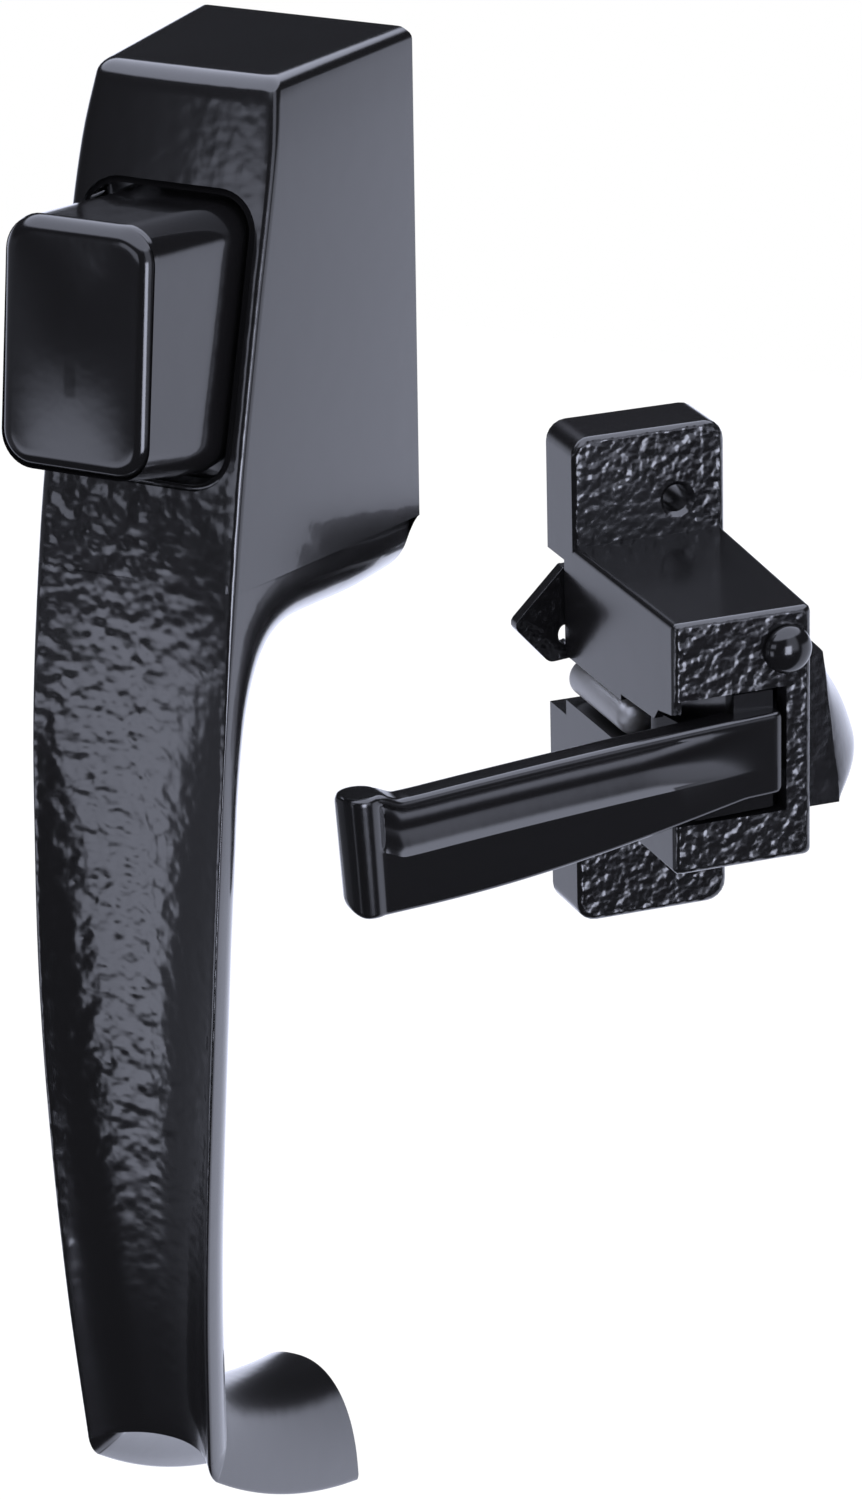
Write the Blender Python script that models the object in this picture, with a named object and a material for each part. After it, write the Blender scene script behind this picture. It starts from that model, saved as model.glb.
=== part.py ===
"""Push-button screen door latch: the outside grip handle and the inside lever latch.

Units are millimetres in the drawing values and metres in the scene. The handle is drawn with
X to the right, +Y into the door and Z up, z = 0 at the top of its box and y = 0 on the door.
The latch is drawn the same way from the top left back corner of its mounting plate, and then
set beside the handle, turned about Z.
"""
import math

import bmesh
import bpy
from mathutils import Matrix, Vector

MM = 0.001
GAP = 0.3
OVERCUT = 1.0

# Shared by both halves: the two machine screws that clamp them through the door.
SCREW_SPACING = 44.45
SCREW_HOLE_RADIUS = 1.65
TAPPED_HOLE_RADIUS = 1.45
TAPPED_HOLE_DEPTH = 14.0

# Handle box
BACK_HALF_WIDTH = 12.7
BACK_TOP_SPREAD = 0.5
BOX_WALL = 2.3
BOX_FRONT_WALL = 1.65
RIM_MIDDLE = 1.2
BOX_TOP_ROUND = 1.4
BOX_BACK_ROUND = 0.5
UPPER_POST_DROP = 7.75
LOWER_POST_DROP = UPPER_POST_DROP + SCREW_SPACING
BOX_FOOT_MARGIN = 3.0
BOX_SIDE_FOOT = LOWER_POST_DROP + BOX_FOOT_MARGIN
BOSS_RADIUS = 11.8
POST_RADIUS = 4.2
POST_RECESS = 2.0
POST_DEPTH = 17.5
POST_WEB = 5.0

# Grip: front profile knots as (z, depth from the door), and half widths as (z, half width)
GRIP_FOOT = -152.2
FRONT_PROFILE = [(0, 25.3), (-12, 29.2), (-28, 34.0), (-42, 37.8), (-59, 41.1), (-81, 43.9),
                 (-100, 45.5), (-120, 46.2), (-136, 46.0), (GRIP_FOOT, 44.9)]
HALF_WIDTHS = [(0, 10.8), (-8, 11.8), (-22, 12.0), (-50, 12.2), (-66, 12.0), (-82, 11.6),
               (-98, 11.1), (-112, 10.4), (-130, 9.3), (GRIP_FOOT, 8.0)]
TROUGH_DEPTHS = [(-44, 0.0), (-50, 0.25), (-62, 1.0), (-80, 2.2), (-100, 3.1), (-125, 3.8),
                 (GRIP_FOOT, 4.4)]
RIM_ROUND = 1.1
SIDE_STRIP = 1.7
BACK_FULLNESS = 2.25
TROUGH_FULLNESS = 2.2

# Where the underside of the box turns into the back of the grip:
# (height of the front rim, depth and height of the side's edge, depth and height of the back's
# crest), heights counted from the foot of the box's back
TURN_STATIONS = [(3.2, 10.0, 0.7, 8.0, -8.4), (3.2, 20.0, 1.35, 15.0, -7.7), (3.2, 29.0, 1.9, 20.8, -7.3),
                 (1.2, 33.7, 1.3, 25.0, -8.1), (-1.3, 36.5, -0.2, 28.0, -10.1),
                 (-4.3, 38.1, -2.4, 30.5, -13.2), (-8.3, 39.5, -5.8, 32.5, -17.2),
                 (-13.3, 40.6, -10.4, 33.9, -22.2),
                 (-18.8, 41.5, -16.0, 34.8, -27.4), (-25.8, 42.2, -23.7, 35.5, -33.2)]
GRIP_STATIONS = 9
GRIP_BACK_BULGE = (8.3, 7.6)

# Tail: the strap turns under at the bottom and sweeps back towards the door as an arch
TURN_RADIUS = 5.0
TAIL_START_SLOPE = 35.0
TAIL_END_SLOPE = 15.0
TAIL_LENGTH = 35.0
TAIL_HALF_WIDTH = 7.6
TAIL_END_RISE = 13.65
TAIL_FULLNESS = 2.4
TAIL_END_WALL = 1.9
TAIL_END_LEAN = -4.7
TAIL_END_STRIP = 1.2
GRIP_BELL = 0.9
TAIL_BELL = 1.25
TURN_STEPS = 7
TAIL_STEPS = 10

# Push button
OPENING_HALF_WIDTH = 10.0
OPENING_TOP = -11.9
OPENING_FOOT = -41.2
OPENING_ROUND = 4.0
HOLLOW_FOOT_MARGIN = 3.2
BUTTON_PLAY = 0.7
BUTTON_FACE_HALF_WIDTH = 8.9
BUTTON_FACE_TOP = (48.2, -10.7)
BUTTON_FACE_FOOT = (51.4, -36.8)
BUTTON_ROUND = 3.8
BUTTON_EDGE_ROUND = 1.3
BUTTON_CROWN = 0.7
BUTTON_SHELL = 2.0
FLANGE_LIP = 1.3
FLANGE_THICKNESS = 1.8

# Push rod, its return spring and the plate that guides it
ROD_SIDE = 5.0
ROD_REACH = 18.0
ROD_SOCKET = 7.0
ROD_TIP_CHAMFER = 0.8
ROD_PIN_RADIUS = 0.8
ROD_PIN_FIT = 0.1
ROD_PIN_HALF_LENGTH = 4.2
SPRING_RADIUS = 5.2
SPRING_WIRE_RADIUS = 0.45
SPRING_TURNS = 6
PLATE_THICKNESS = 1.2
PLATE_MARGIN = 0.5
PLATE_END_SPACE = 4.3
PLATE_END_PLAY = 0.7
PLATE_HOLE_PLAY = 0.4
PLATE_SCREWS = [(8.0, -17.0), (-8.0, -41.0)]
PLATE_SCREW_RADIUS = 1.0
PLATE_SCREW_HEAD_RADIUS = 1.7
PLATE_SCREW_HEAD = 0.9
PLATE_SCREW_LENGTH = 6.0
PLATE_BOSS_RADIUS = 2.7
PLATE_BOSS_LENGTH = 8.0

# Inside latch: mounting plate. Heights of the latch are counted from the push rod's level.
LATCH_PLACE = (8.63, 38.188, -56.1)
LATCH_TURN = 49.4
TAB_WIDTH = 19.1
TAB_THICKNESS = 8.0
TAB_CORNER_ROUND = 2.4
EDGE_ROUND = 0.7
SCREW_COLUMN = 13.1
TOP_SCREW_DROP = 8.95
FOOT_SCREW_DROP = 6.6
TAB_HEIGHT = TOP_SCREW_DROP + SCREW_SPACING + FOOT_SCREW_DROP
ROD_LEVEL = -TOP_SCREW_DROP - SCREW_SPACING / 2
SINK_RADIUS = 2.2
SINK_DEPTH = 0.5
ROD_PASSAGE = 6.6

# Hinge of the lever, which the front of the case, the mouth and the bolt are set from
HINGE_X = 8.0
HINGE_SETBACK = 16.75
HINGE_DEPTH = TAB_THICKNESS + HINGE_SETBACK
HINGE_RADIUS = 1.5
HINGE_FIT = 0.05
RING_RADIUS = 2.7
RING_THICKNESS = 0.7
HUB_RADIUS = 4.7
HUB_CORE_RADIUS = 2.9
HUB_PLAY = 0.45
HUB_SHOULDER_DROP = 4.1
HUB_LOBE_X = 1.5
HUB_LOBE = (2.2, 4.0)
HUB_FRONT_LEFT = 2.6
CROWN_LOBE_X = 3.4
CROWN_FRONT_LEFT = 7.6
HINGE_PIN_SEAT = 6.0
DRIVE_PIN_FLOOR = 1.2
CHEEK_PLATE = 3.2

# Case
CASE_RISE = 18.075
CASE_DROP = 12.025
CASE_TOP = ROD_LEVEL + CASE_RISE
CASE_FOOT = ROD_LEVEL - CASE_DROP
CASE_COVER = 12.3
CASE_DEPTH = HINGE_DEPTH + CASE_COVER
CASE_LEFT = 0.1
CASE_FRONT_WIDTH = 16.9

# Mouth of the case, open to the front and the left
MOUTH_RISE = 8.875
MOUTH_DROP = 6.125
MOUTH_TOP = ROD_LEVEL + MOUTH_RISE
MOUTH_FOOT = ROD_LEVEL - MOUTH_DROP
MOUTH_BACK = HINGE_DEPTH - HUB_RADIUS - GAP
MOUTH_CORNER = 3.2
LEFT_WALL = 2.6
LEFT_WALL_COVER = 2.0
LEFT_WALL_DEPTH = MOUTH_BACK + LEFT_WALL_COVER
CHEEK_THICKNESS = 1.1
CHEEK_EDGE = [(TAB_THICKNESS, -4.6), (CASE_DEPTH - 5.7, -3.7), (CASE_DEPTH - 4.5, -2.3),
              (CASE_DEPTH - 0.4, -1.6)]
HUB_TOP = MOUTH_TOP - HUB_PLAY
HUB_FOOT = MOUTH_FOOT + HUB_PLAY
HUB_SHOULDER = MOUTH_TOP - HUB_SHOULDER_DROP

# Lever: arm with a channel in its front and a round pad at its end
LEVER_TOP = MOUTH_TOP - 2.7
LEVER_FOOT = MOUTH_FOOT + 2.4
LEVER_END_DROP = 4.1
LEVER_END_FOOT = LEVER_FOOT - LEVER_END_DROP
LEVER_RIGHT_END = 13.3
LEVER_PROUD = 0.6
LEVER_FRONT_DEPTH = CASE_DEPTH + LEVER_PROUD
LEVER_ANGLE = 7.2
LEVER_REACH = 55.4
LEVER_END_ROUND = 1.0
SPINE_GAP = 0.5
SPINE_FACE = LEVER_RIGHT_END + SPINE_GAP
ARM_THICKNESS = 4.0
CHANNEL_DEPTH = 1.3
CHANNEL_RIM = 0.9
CHANNEL_HEIGHT = 5.8
CHANNEL_FADE = 7.0
PAD_LENGTH = 5.2
PAD_THICKNESS = 5.6
PAD_PROUD = 0.25
PAD_RISE = 1.0
ARM_SAG = 0.8
PAD_LEAN = 0.8
PAD_FOOT_ROUND = 2.0

# Bolt, driven by a pin in the lever's hub
BOLT_COVER = 2.9
BOLT_FRONT = CASE_DEPTH - BOLT_COVER
BOLT_REST_DEPTH = 12.4
BOLT_BACK = BOLT_FRONT - BOLT_REST_DEPTH
BOLT_RISE = 11.175
BOLT_DROP = 7.425
BOLT_TOP = ROD_LEVEL + BOLT_RISE
BOLT_FOOT = ROD_LEVEL - BOLT_DROP
BOLT_INNER = 17.9
BOLT_CHANNEL_PLAY = 0.35
BOLT_CHANNEL_LENGTH = 5.4
BOLT_HEEL = 3.0
BOLT_SECTIONS = [(0.0, 1.7, 2.2), (0.16, 2.1, 4.3), (0.32, 2.4, 6.2), (0.48, 2.8, 7.9), (0.645, 3.1, 9.1),
                 (0.78, 3.4, 9.7), (0.887, 3.7, 9.1), (0.962, 3.8, 7.3), (1.0, 3.8, 4.7)]
DRIVE_PIN_RADIUS = 1.0
TONGUE_HALF_WIDTH = 2.0
TONGUE_RISE = 4.875
TONGUE_DROP = 2.325
TONGUE_TOP = ROD_LEVEL + TONGUE_RISE
TONGUE_FOOT = ROD_LEVEL - TONGUE_DROP
TONGUE_REST = 2.1
TONGUE_PLAY = 0.35
DRIVE_OFFSET = (2.5, -(BOLT_FRONT - TONGUE_HALF_WIDTH - HINGE_DEPTH))

# Stop pin and lever spring
STOP_X = 2.45
STOP_RADIUS = 2.35
STOP_GAP = 0.45
STOP_REACH = 2.35
STOP_TIP_DEPTH = MOUTH_BACK + STOP_REACH
STOP_LENGTH = 16.7
STOP_TAIL_DEPTH = STOP_TIP_DEPTH - STOP_LENGTH
SLOT_RISE = 4.075
SLOT_DROP = 1.525
SLOT_TOP = ROD_LEVEL + SLOT_RISE
SLOT_FOOT = ROD_LEVEL - SLOT_DROP
LEVER_SPRING_RADIUS = 3.75
LEVER_SPRING_WIRE = 0.4
LEVER_SPRING_TURNS = 4

# Night lock: a plate in the pocket behind the case, on a shaft with a domed head in front
LOCK_X = 13.7
LOCK_RISE = 13.475
LOCK_Z = ROD_LEVEL + LOCK_RISE
LOCK_SHAFT_RADIUS = 1.4
LOCK_SHAFT_FIT = 0.08
DOME_RADIUS = 2.85
DOME_HEIGHT = 2.1
POCKET_COVER = 2.95
POCKET_DEPTH = TAB_THICKNESS - POCKET_COVER
POCKET_RISE = 15.775
POCKET_DROP = 3.425
POCKET_TOP = ROD_LEVEL + POCKET_RISE
POCKET_FOOT = ROD_LEVEL - POCKET_DROP
POCKET_RIGHT = 17.0
LOCK_PLATE_PLAY = 0.5
LOCK_PLATE_FRONT = POCKET_DEPTH - LOCK_PLATE_PLAY
LOCK_PLATE_THICKNESS = 1.7
LOCK_DISC_RADIUS = 3.6
LOCK_WASHER_RADIUS = 3.2
LOCK_WASHER_THICKNESS = 0.7
HOOK_CORNERS = [(-13.5, 1.3), (-20.0, -5.2), (-15.5, -10.3), (-11.8, -10.0), (-12.0, -8.7), (-13.6, -7.9),
                (-13.4, -5.9), (-7.9, -5.3), (-6.7, -11.8), (-4.4, -11.4), (-3.1, -4.9)]
HOOK_ROUNDS = [0.4, 1.0, 1.2, 0.6, 0.4, 0.5, 0.5, 0.8, 0.8, 0.8, 1.5]


def smooth_value(knots, z):
    """Cubic through the knots, which run downwards, read at the height z."""
    if z >= knots[0][0]:
        return knots[0][1]
    if z <= knots[-1][0]:
        return knots[-1][1]
    index = next(i for i in range(len(knots) - 1) if knots[i + 1][0] <= z)
    z0, v0 = knots[index]
    z1, v1 = knots[index + 1]
    before = knots[max(index - 1, 0)]
    after = knots[min(index + 2, len(knots) - 1)]
    slope0 = (v1 - before[1]) / (z1 - before[0])
    slope1 = (after[1] - v0) / (after[0] - z0)
    t = (z - z0) / (z1 - z0)
    span = z1 - z0
    return ((2 * t**3 - 3 * t**2 + 1) * v0 + (t**3 - 2 * t**2 + t) * span * slope0
            + (3 * t**2 - 2 * t**3) * v1 + (t**3 - t**2) * span * slope1)


def blend(a, b, share):
    return a + (b - a) * share


def new_material(name, colour, roughness, metallic=0.0, coat=0.0):
    material = bpy.data.materials.new(name)
    material.use_nodes = True
    shader = material.node_tree.nodes["Principled BSDF"]
    shader.inputs["Base Color"].default_value = (*colour, 1.0)
    shader.inputs["Roughness"].default_value = roughness
    shader.inputs["Metallic"].default_value = metallic
    shader.inputs["Coat Weight"].default_value = coat
    return material


def object_from_bmesh(name, bm, material=None, parent=None, smooth_angle=35.0):
    bmesh.ops.recalc_face_normals(bm, faces=bm.faces)
    mesh = bpy.data.meshes.new(name)
    bm.to_mesh(mesh)
    bm.free()
    mesh.shade_smooth()
    mesh.set_sharp_from_angle(angle=math.radians(smooth_angle))
    piece = bpy.data.objects.new(name, mesh)
    bpy.context.collection.objects.link(piece)
    if material:
        mesh.materials.append(material)
    piece.parent = parent
    return piece


def skin_rings(rings, closed_path=False):
    """A bmesh skinned over rings of equally many points, in mm, with its ends capped."""
    bm = bmesh.new()
    loops = [[bm.verts.new(Vector(point) * MM) for point in ring] for ring in rings]
    count = len(loops[0])
    pairs = list(zip(loops, loops[1:] + ([loops[0]] if closed_path else [])))
    for lower, upper in pairs:
        for i in range(count):
            j = (i + 1) % count
            bm.faces.new((lower[i], lower[j], upper[j], upper[i]))
    if not closed_path:
        bm.faces.new(list(reversed(loops[0])))
        bm.faces.new(loops[-1])
    return bm


def rounded_corner(corner, before, after, radius, steps):
    """Points of a round that replaces a corner between the directions to its neighbours."""
    to_before = (Vector(before) - Vector(corner)).normalized()
    to_after = (Vector(after) - Vector(corner)).normalized()
    start = Vector(corner) + to_before * radius
    end = Vector(corner) + to_after * radius
    points = []
    for k in range(steps + 1):
        t = k / steps
        points.append(start * (1 - t)**2 + Vector(corner) * 2 * t * (1 - t) + end * t**2)
    return points


def rounded_outline(corners, radius, steps=4):
    """A closed flat outline, each corner rounded by its own or a common radius."""
    points = []
    count = len(corners)
    for i, corner in enumerate(corners):
        size = radius[i] if isinstance(radius, (list, tuple)) else radius
        flat = [Vector((*corners[k % count], 0)) for k in (i - 1, i, i + 1)]
        if size <= 0:
            points.append((flat[1].x, flat[1].y))
            continue
        to_before = (flat[0] - flat[1]).normalized()
        to_after = (flat[2] - flat[1]).normalized()
        half = to_before.angle(to_after) / 2
        setback = size / math.tan(half)
        centre = flat[1] + (to_before + to_after).normalized() * size / math.sin(half)
        first = (flat[1] + to_before * setback - centre).normalized()
        last = (flat[1] + to_after * setback - centre).normalized()
        for k in range(steps + 1):
            share = k / steps
            arm = first.slerp(last, share) * size
            points.append((centre.x + arm.x, centre.y + arm.y))
    return points


def rectangle(left, right, low, high):
    return [(left, low), (right, low), (right, high), (left, high)]


def prism_along_y(outline, depth_back, depth_front):
    """Rings of an x-z outline carried from the back (nearer the door) to the front."""
    return [[(x, -depth, z) for x, z in outline] for depth in (depth_back, depth_front)]


def prism_along_z(outline, foot, top):
    return [[(x, y, z) for x, y in outline] for z in (foot, top)]


def rounded_prism(outline, place, low, high, edge, at_low=True, at_high=True):
    """Rings of a prism whose end edges are rounded; place(x, y, level) gives each point."""
    middle_x = (min(x for x, _ in outline) + max(x for x, _ in outline)) / 2
    middle_y = (min(y for _, y in outline) + max(y for _, y in outline)) / 2
    half_x = max(x for x, _ in outline) - middle_x
    half_y = max(y for _, y in outline) - middle_y
    levels = []
    turns = [math.radians(a) for a in (0, 30, 60, 90)]
    if at_low:
        levels += [(low + edge * (1 - math.sin(t)), edge * (1 - math.cos(t))) for t in reversed(turns)]
    else:
        levels.append((low, 0.0))
    if at_high:
        levels += [(high - edge * (1 - math.sin(t)), edge * (1 - math.cos(t))) for t in turns]
    else:
        levels.append((high, 0.0))
    rings = []
    for level, inset in levels:
        share_x = (half_x - inset) / half_x
        share_y = (half_y - inset) / half_y
        rings.append([place(middle_x + (x - middle_x) * share_x, middle_y + (y - middle_y) * share_y, level)
                      for x, y in outline])
    return rings


def circle(centre_x, centre_y, radius, count=24):
    return [(centre_x + radius * math.cos(2 * math.pi * k / count),
             centre_y + radius * math.sin(2 * math.pi * k / count)) for k in range(count)]


def turned_along_y(centre_x, centre_z, profile, count=24):
    """Rings of a body turned about a line along Y; profile holds (depth, radius)."""
    return [[(x, -depth, z) for x, z in circle(centre_x, centre_z, radius, count)]
            for depth, radius in profile]


def turned_along_z(centre_x, centre_y, profile, count=24):
    return [[(x, y, z) for x, y in circle(centre_x, centre_y, radius, count)]
            for z, radius in profile]


def coil_rings(point_on_path, turns, wire_radius, steps_per_turn=16, sides=6):
    """Rings of a round wire along a coil; point_on_path(angle) gives its middle line."""
    count = int(turns * steps_per_turn)
    rings = []
    for k in range(count + 1):
        angle = 2 * math.pi * turns * k / count
        here = Vector(point_on_path(angle))
        along = (Vector(point_on_path(angle + 0.01)) - Vector(point_on_path(angle - 0.01))).normalized()
        side = along.orthogonal().normalized()
        reference = Vector((0, 1, 0)) if abs(along.y) < 0.9 else Vector((0, 0, 1))
        side = along.cross(reference).normalized()
        up = side.cross(along)
        rings.append([here + (side * math.cos(2 * math.pi * s / sides)
                              + up * math.sin(2 * math.pi * s / sides)) * wire_radius
                      for s in range(sides)])
    return rings


def make(name, rings, material=None, parent=None, smooth_angle=35.0):
    return object_from_bmesh(name, skin_rings(rings), material, parent, smooth_angle)


def cutter(name, rings, parent=None):
    """A hidden body that only shapes others."""
    piece = make(name, rings, None, parent)
    piece.hide_render = True
    piece.display_type = "WIRE"
    return piece


def shape_with(piece, operation, *tools):
    for tool in tools:
        modifier = piece.modifiers.new(tool.name, "BOOLEAN")
        modifier.operation = operation
        modifier.solver = "EXACT"
        modifier.object = tool
        tool.hide_render = True
        tool.display_type = "WIRE"


def casting_ring(front, side, crest, half_widths, trough, inward, fullness=BACK_FULLNESS, bell=GRIP_BELL):
    """One ring of the handle casting: dished front between two rims, sides, rounded back."""
    front_half, side_half = half_widths
    inward = Vector(inward)
    front_middle = Vector((0, *front))
    side_middle = Vector((0, *side))
    crest_arm = Vector((0, *crest)) - side_middle
    ring = []
    corner_right = front_middle + Vector((front_half, 0, 0))
    corner_left = front_middle - Vector((front_half, 0, 0))
    side_right = side_middle + Vector((side_half, 0, 0))
    side_left = side_middle - Vector((side_half, 0, 0))
    span = (front_half - RIM_ROUND) / front_half
    steps = 12
    dish = []
    for k in range(steps + 1):
        u = span * (2 * k / steps - 1)
        depth = trough * (1 - abs(u) ** TROUGH_FULLNESS) ** bell
        dish.append(front_middle + Vector((front_half * u, 0, 0)) + inward * depth)
    ring += rounded_corner(corner_left, side_left, dish[0], RIM_ROUND, 3)[:-1]
    ring += dish
    ring += rounded_corner(corner_right, dish[-1], side_right, RIM_ROUND, 3)[1:]
    back_steps = 16
    for k in range(back_steps + 1):
        turn = math.pi * k / back_steps
        across = math.copysign(abs(math.cos(turn)) ** (2 / fullness), math.cos(turn))
        rise = math.sin(turn) ** (2 / fullness)
        ring.append(side_middle + Vector((side_half * across, 0, 0)) + crest_arm * rise)
    return ring


def back_half_width(z):
    """Half width of the box at the door, a little wider towards its top."""
    return BACK_HALF_WIDTH + BACK_TOP_SPREAD * (1 + z / BOX_SIDE_FOOT)


def casting_rings():
    """Rings of the handle casting from the top of its box to the end of its tail."""
    rings = []
    ahead = (0, 1, 0)

    def box_ring(z, inset, foot_z):
        depth = smooth_value(FRONT_PROFILE, z) - inset
        half = smooth_value(HALF_WIDTHS, z) - inset
        back = back_half_width(foot_z) - inset
        return casting_ring((-depth, z), (-min(inset, BOX_BACK_ROUND), foot_z),
                            (-min(inset, BOX_BACK_ROUND), foot_z), (half, back), 0.0, ahead)

    for turn in (90, 60, 30):
        t = math.radians(turn)
        rings.append(box_ring(-BOX_TOP_ROUND * (1 - math.sin(t)), BOX_TOP_ROUND * (1 - math.cos(t)),
                              -BOX_TOP_ROUND * (1 - math.sin(t))))
    front_foot = TURN_STATIONS[0][0] - BOX_SIDE_FOOT
    box_steps = 8
    for k in range(box_steps + 1):
        share = k / box_steps
        front_z = blend(-BOX_TOP_ROUND, front_foot, share)
        back_z = blend(-BOX_TOP_ROUND, -BOX_SIDE_FOOT, share)
        depth = smooth_value(FRONT_PROFILE, front_z)
        half = smooth_value(HALF_WIDTHS, front_z)
        trough = smooth_value(TROUGH_DEPTHS, front_z)
        rings.append(casting_ring((-depth, front_z), (0, back_z), (0, back_z),
                                  (half, back_half_width(back_z)), trough, ahead))
    boss_foot = -LOWER_POST_DROP - BOSS_RADIUS
    boss_side_drop = -BOX_SIDE_FOOT + LOWER_POST_DROP
    boss_side = math.sqrt(BOSS_RADIUS**2 - boss_side_drop**2)
    depth = smooth_value(FRONT_PROFILE, front_foot)
    half = smooth_value(HALF_WIDTHS, front_foot)
    rings.append(casting_ring((-depth, front_foot), (0, -BOX_SIDE_FOOT - 0.5), (0, boss_foot),
                              (half, boss_side), smooth_value(TROUGH_DEPTHS, front_foot), ahead))
    turns = [(front - BOX_SIDE_FOOT, side_depth, side - BOX_SIDE_FOOT, crest_depth, crest - BOX_SIDE_FOOT)
             for front, side_depth, side, crest_depth, crest in TURN_STATIONS]
    for front_z, side_depth, side_z, crest_depth, crest_z in turns:
        depth = smooth_value(FRONT_PROFILE, front_z)
        half = smooth_value(HALF_WIDTHS, front_z)
        share = min(side_depth / depth, 1.0)
        side_half = blend(BACK_HALF_WIDTH - 0.35, half, share)
        rings.append(casting_ring((-depth, front_z), (-side_depth, side_z),
                                  (-crest_depth, crest_z), (half, side_half),
                                  smooth_value(TROUGH_DEPTHS, front_z), ahead))
    last_front, last_side, last_side_z, last_crest, last_crest_z = turns[-1]
    foot_z = FRONT_PROFILE[-1][0]
    for k in range(1, GRIP_STATIONS + 1):
        share = k / GRIP_STATIONS
        front_z = blend(last_front, foot_z, share)
        depth = smooth_value(FRONT_PROFILE, front_z)
        half = smooth_value(HALF_WIDTHS, front_z)
        side_z = front_z + (last_side_z - last_front) * (1 - share)
        crest_z = front_z + (last_crest_z - last_front) * (1 - share) ** 1.5
        bulge = blend(smooth_value(FRONT_PROFILE, last_front) - last_crest - SIDE_STRIP,
                      GRIP_BACK_BULGE[1], share)
        side_depth = depth - SIDE_STRIP
        rings.append(casting_ring((-depth, front_z), (-side_depth, side_z),
                                  (-(side_depth - bulge), crest_z), (half, half),
                                  smooth_value(TROUGH_DEPTHS, front_z), ahead))
    rings += tail_rings(foot_z)
    return rings


def tail_rings(foot_z):
    """Rings of the strap as it turns under and sweeps back towards the door."""
    rings = []
    start_depth = FRONT_PROFILE[-1][1]
    half_start = HALF_WIDTHS[-1][1]
    trough_start = TROUGH_DEPTHS[-1][1]
    bulge_start = GRIP_BACK_BULGE[1]
    turned = 90.0 - TAIL_START_SLOPE
    centre = Vector((0, -(start_depth - TURN_RADIUS), foot_z))
    sweep_radius = TAIL_LENGTH / math.radians(TAIL_START_SLOPE - TAIL_END_SLOPE)
    for k in range(1, TURN_STEPS + 1):
        angle = math.radians(turned * k / TURN_STEPS)
        outward = Vector((0, -math.cos(angle), -math.sin(angle)))
        share = 0.25 * k / TURN_STEPS
        rings.append(strap_ring(centre + outward * TURN_RADIUS, outward, share,
                                (half_start, trough_start, bulge_start)))
    outward = Vector((0, -math.cos(math.radians(turned)), -math.sin(math.radians(turned))))
    start = centre + outward * TURN_RADIUS
    for k in range(1, TAIL_STEPS + 1):
        share = k / TAIL_STEPS
        slope0 = math.radians(TAIL_START_SLOPE)
        slope1 = math.radians(blend(TAIL_START_SLOPE, TAIL_END_SLOPE, share))
        forward = Vector((0, sweep_radius * (math.sin(slope0) - math.sin(slope1)),
                          sweep_radius * (math.cos(slope0) - math.cos(slope1))))
        outward = Vector((0, -math.sin(slope1), -math.cos(slope1)))
        rings.append(strap_ring(start + forward, outward, 0.25 + 0.75 * share,
                                (half_start, trough_start, bulge_start)))
    return rings


def strap_ring(rim, outward, share, start):
    half_start, trough_start, bulge_start = start
    half = blend(half_start, TAIL_HALF_WIDTH, math.sin(share * math.pi / 2))
    strip = blend(SIDE_STRIP, TAIL_END_STRIP, share)
    trough = blend(trough_start, TAIL_END_RISE - TAIL_END_WALL + strip, share)
    bulge = blend(bulge_start, TAIL_END_RISE, share)
    side = rim - outward * strip
    lean = Vector((0, -outward.z, outward.y)) * TAIL_END_LEAN * max(share - 0.25, 0) / 0.75
    crest = side - outward * bulge + lean
    inward = (crest - side).normalized()
    fullness = blend(BACK_FULLNESS, TAIL_FULLNESS, share)
    bell = blend(GRIP_BELL, TAIL_BELL, min(4 * share, 1.0))
    return casting_ring((rim.y, rim.z), (side.y, side.z), (crest.y, crest.z),
                        (half, half), trough, inward, fullness, bell)


def build_handle_casting(material, parent):
    casting = make("handle_casting", casting_rings(), material, parent, 40.0)
    opening = rounded_outline(rectangle(-OPENING_HALF_WIDTH, OPENING_HALF_WIDTH, OPENING_FOOT, OPENING_TOP),
                              OPENING_ROUND, 5)
    opening_cut = cutter("cut_button_opening", prism_along_y(opening, 15.0, 60.0), parent)
    cavity = cavity_cutter(parent)
    post_profile = [(POST_RECESS, POST_RADIUS), (POST_DEPTH, POST_RADIUS)]
    web_outline = rectangle(-POST_WEB / 2, POST_WEB / 2, -UPPER_POST_DROP, 1.0)
    posts = [cutter("keep_upper_post", turned_along_y(0, -UPPER_POST_DROP, post_profile), parent),
             cutter("keep_post_web", prism_along_y(web_outline, POST_RECESS, POST_DEPTH), parent)]
    for index, (x, z) in enumerate(PLATE_SCREWS):
        boss_profile = [(POST_RECESS, PLATE_BOSS_RADIUS),
                        (POST_RECESS + PLATE_BOSS_LENGTH, PLATE_BOSS_RADIUS)]
        posts.append(cutter("keep_boss_%d" % (index + 1), turned_along_y(x, z, boss_profile), parent))
    shape_with(cavity, "DIFFERENCE", *posts)
    holes = []
    for drop, name in ((UPPER_POST_DROP, "upper"), (LOWER_POST_DROP, "lower")):
        holes.append(cutter("cut_tapped_hole_" + name,
                            turned_along_y(0, -drop, [(-OVERCUT, TAPPED_HOLE_RADIUS),
                                                      (TAPPED_HOLE_DEPTH, TAPPED_HOLE_RADIUS),
                                                      (TAPPED_HOLE_DEPTH + 1.0, 0.3)], 20), parent))
    for index, (x, z) in enumerate(PLATE_SCREWS):
        radius = PLATE_SCREW_RADIUS + GAP
        hole_profile = [(0.5, radius), (POST_RECESS + PLATE_SCREW_LENGTH, radius)]
        holes.append(cutter("cut_boss_hole_%d" % (index + 1),
                            turned_along_y(x, z, hole_profile, 16), parent))
    shape_with(casting, "DIFFERENCE", cavity, opening_cut, *holes)
    return casting


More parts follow.
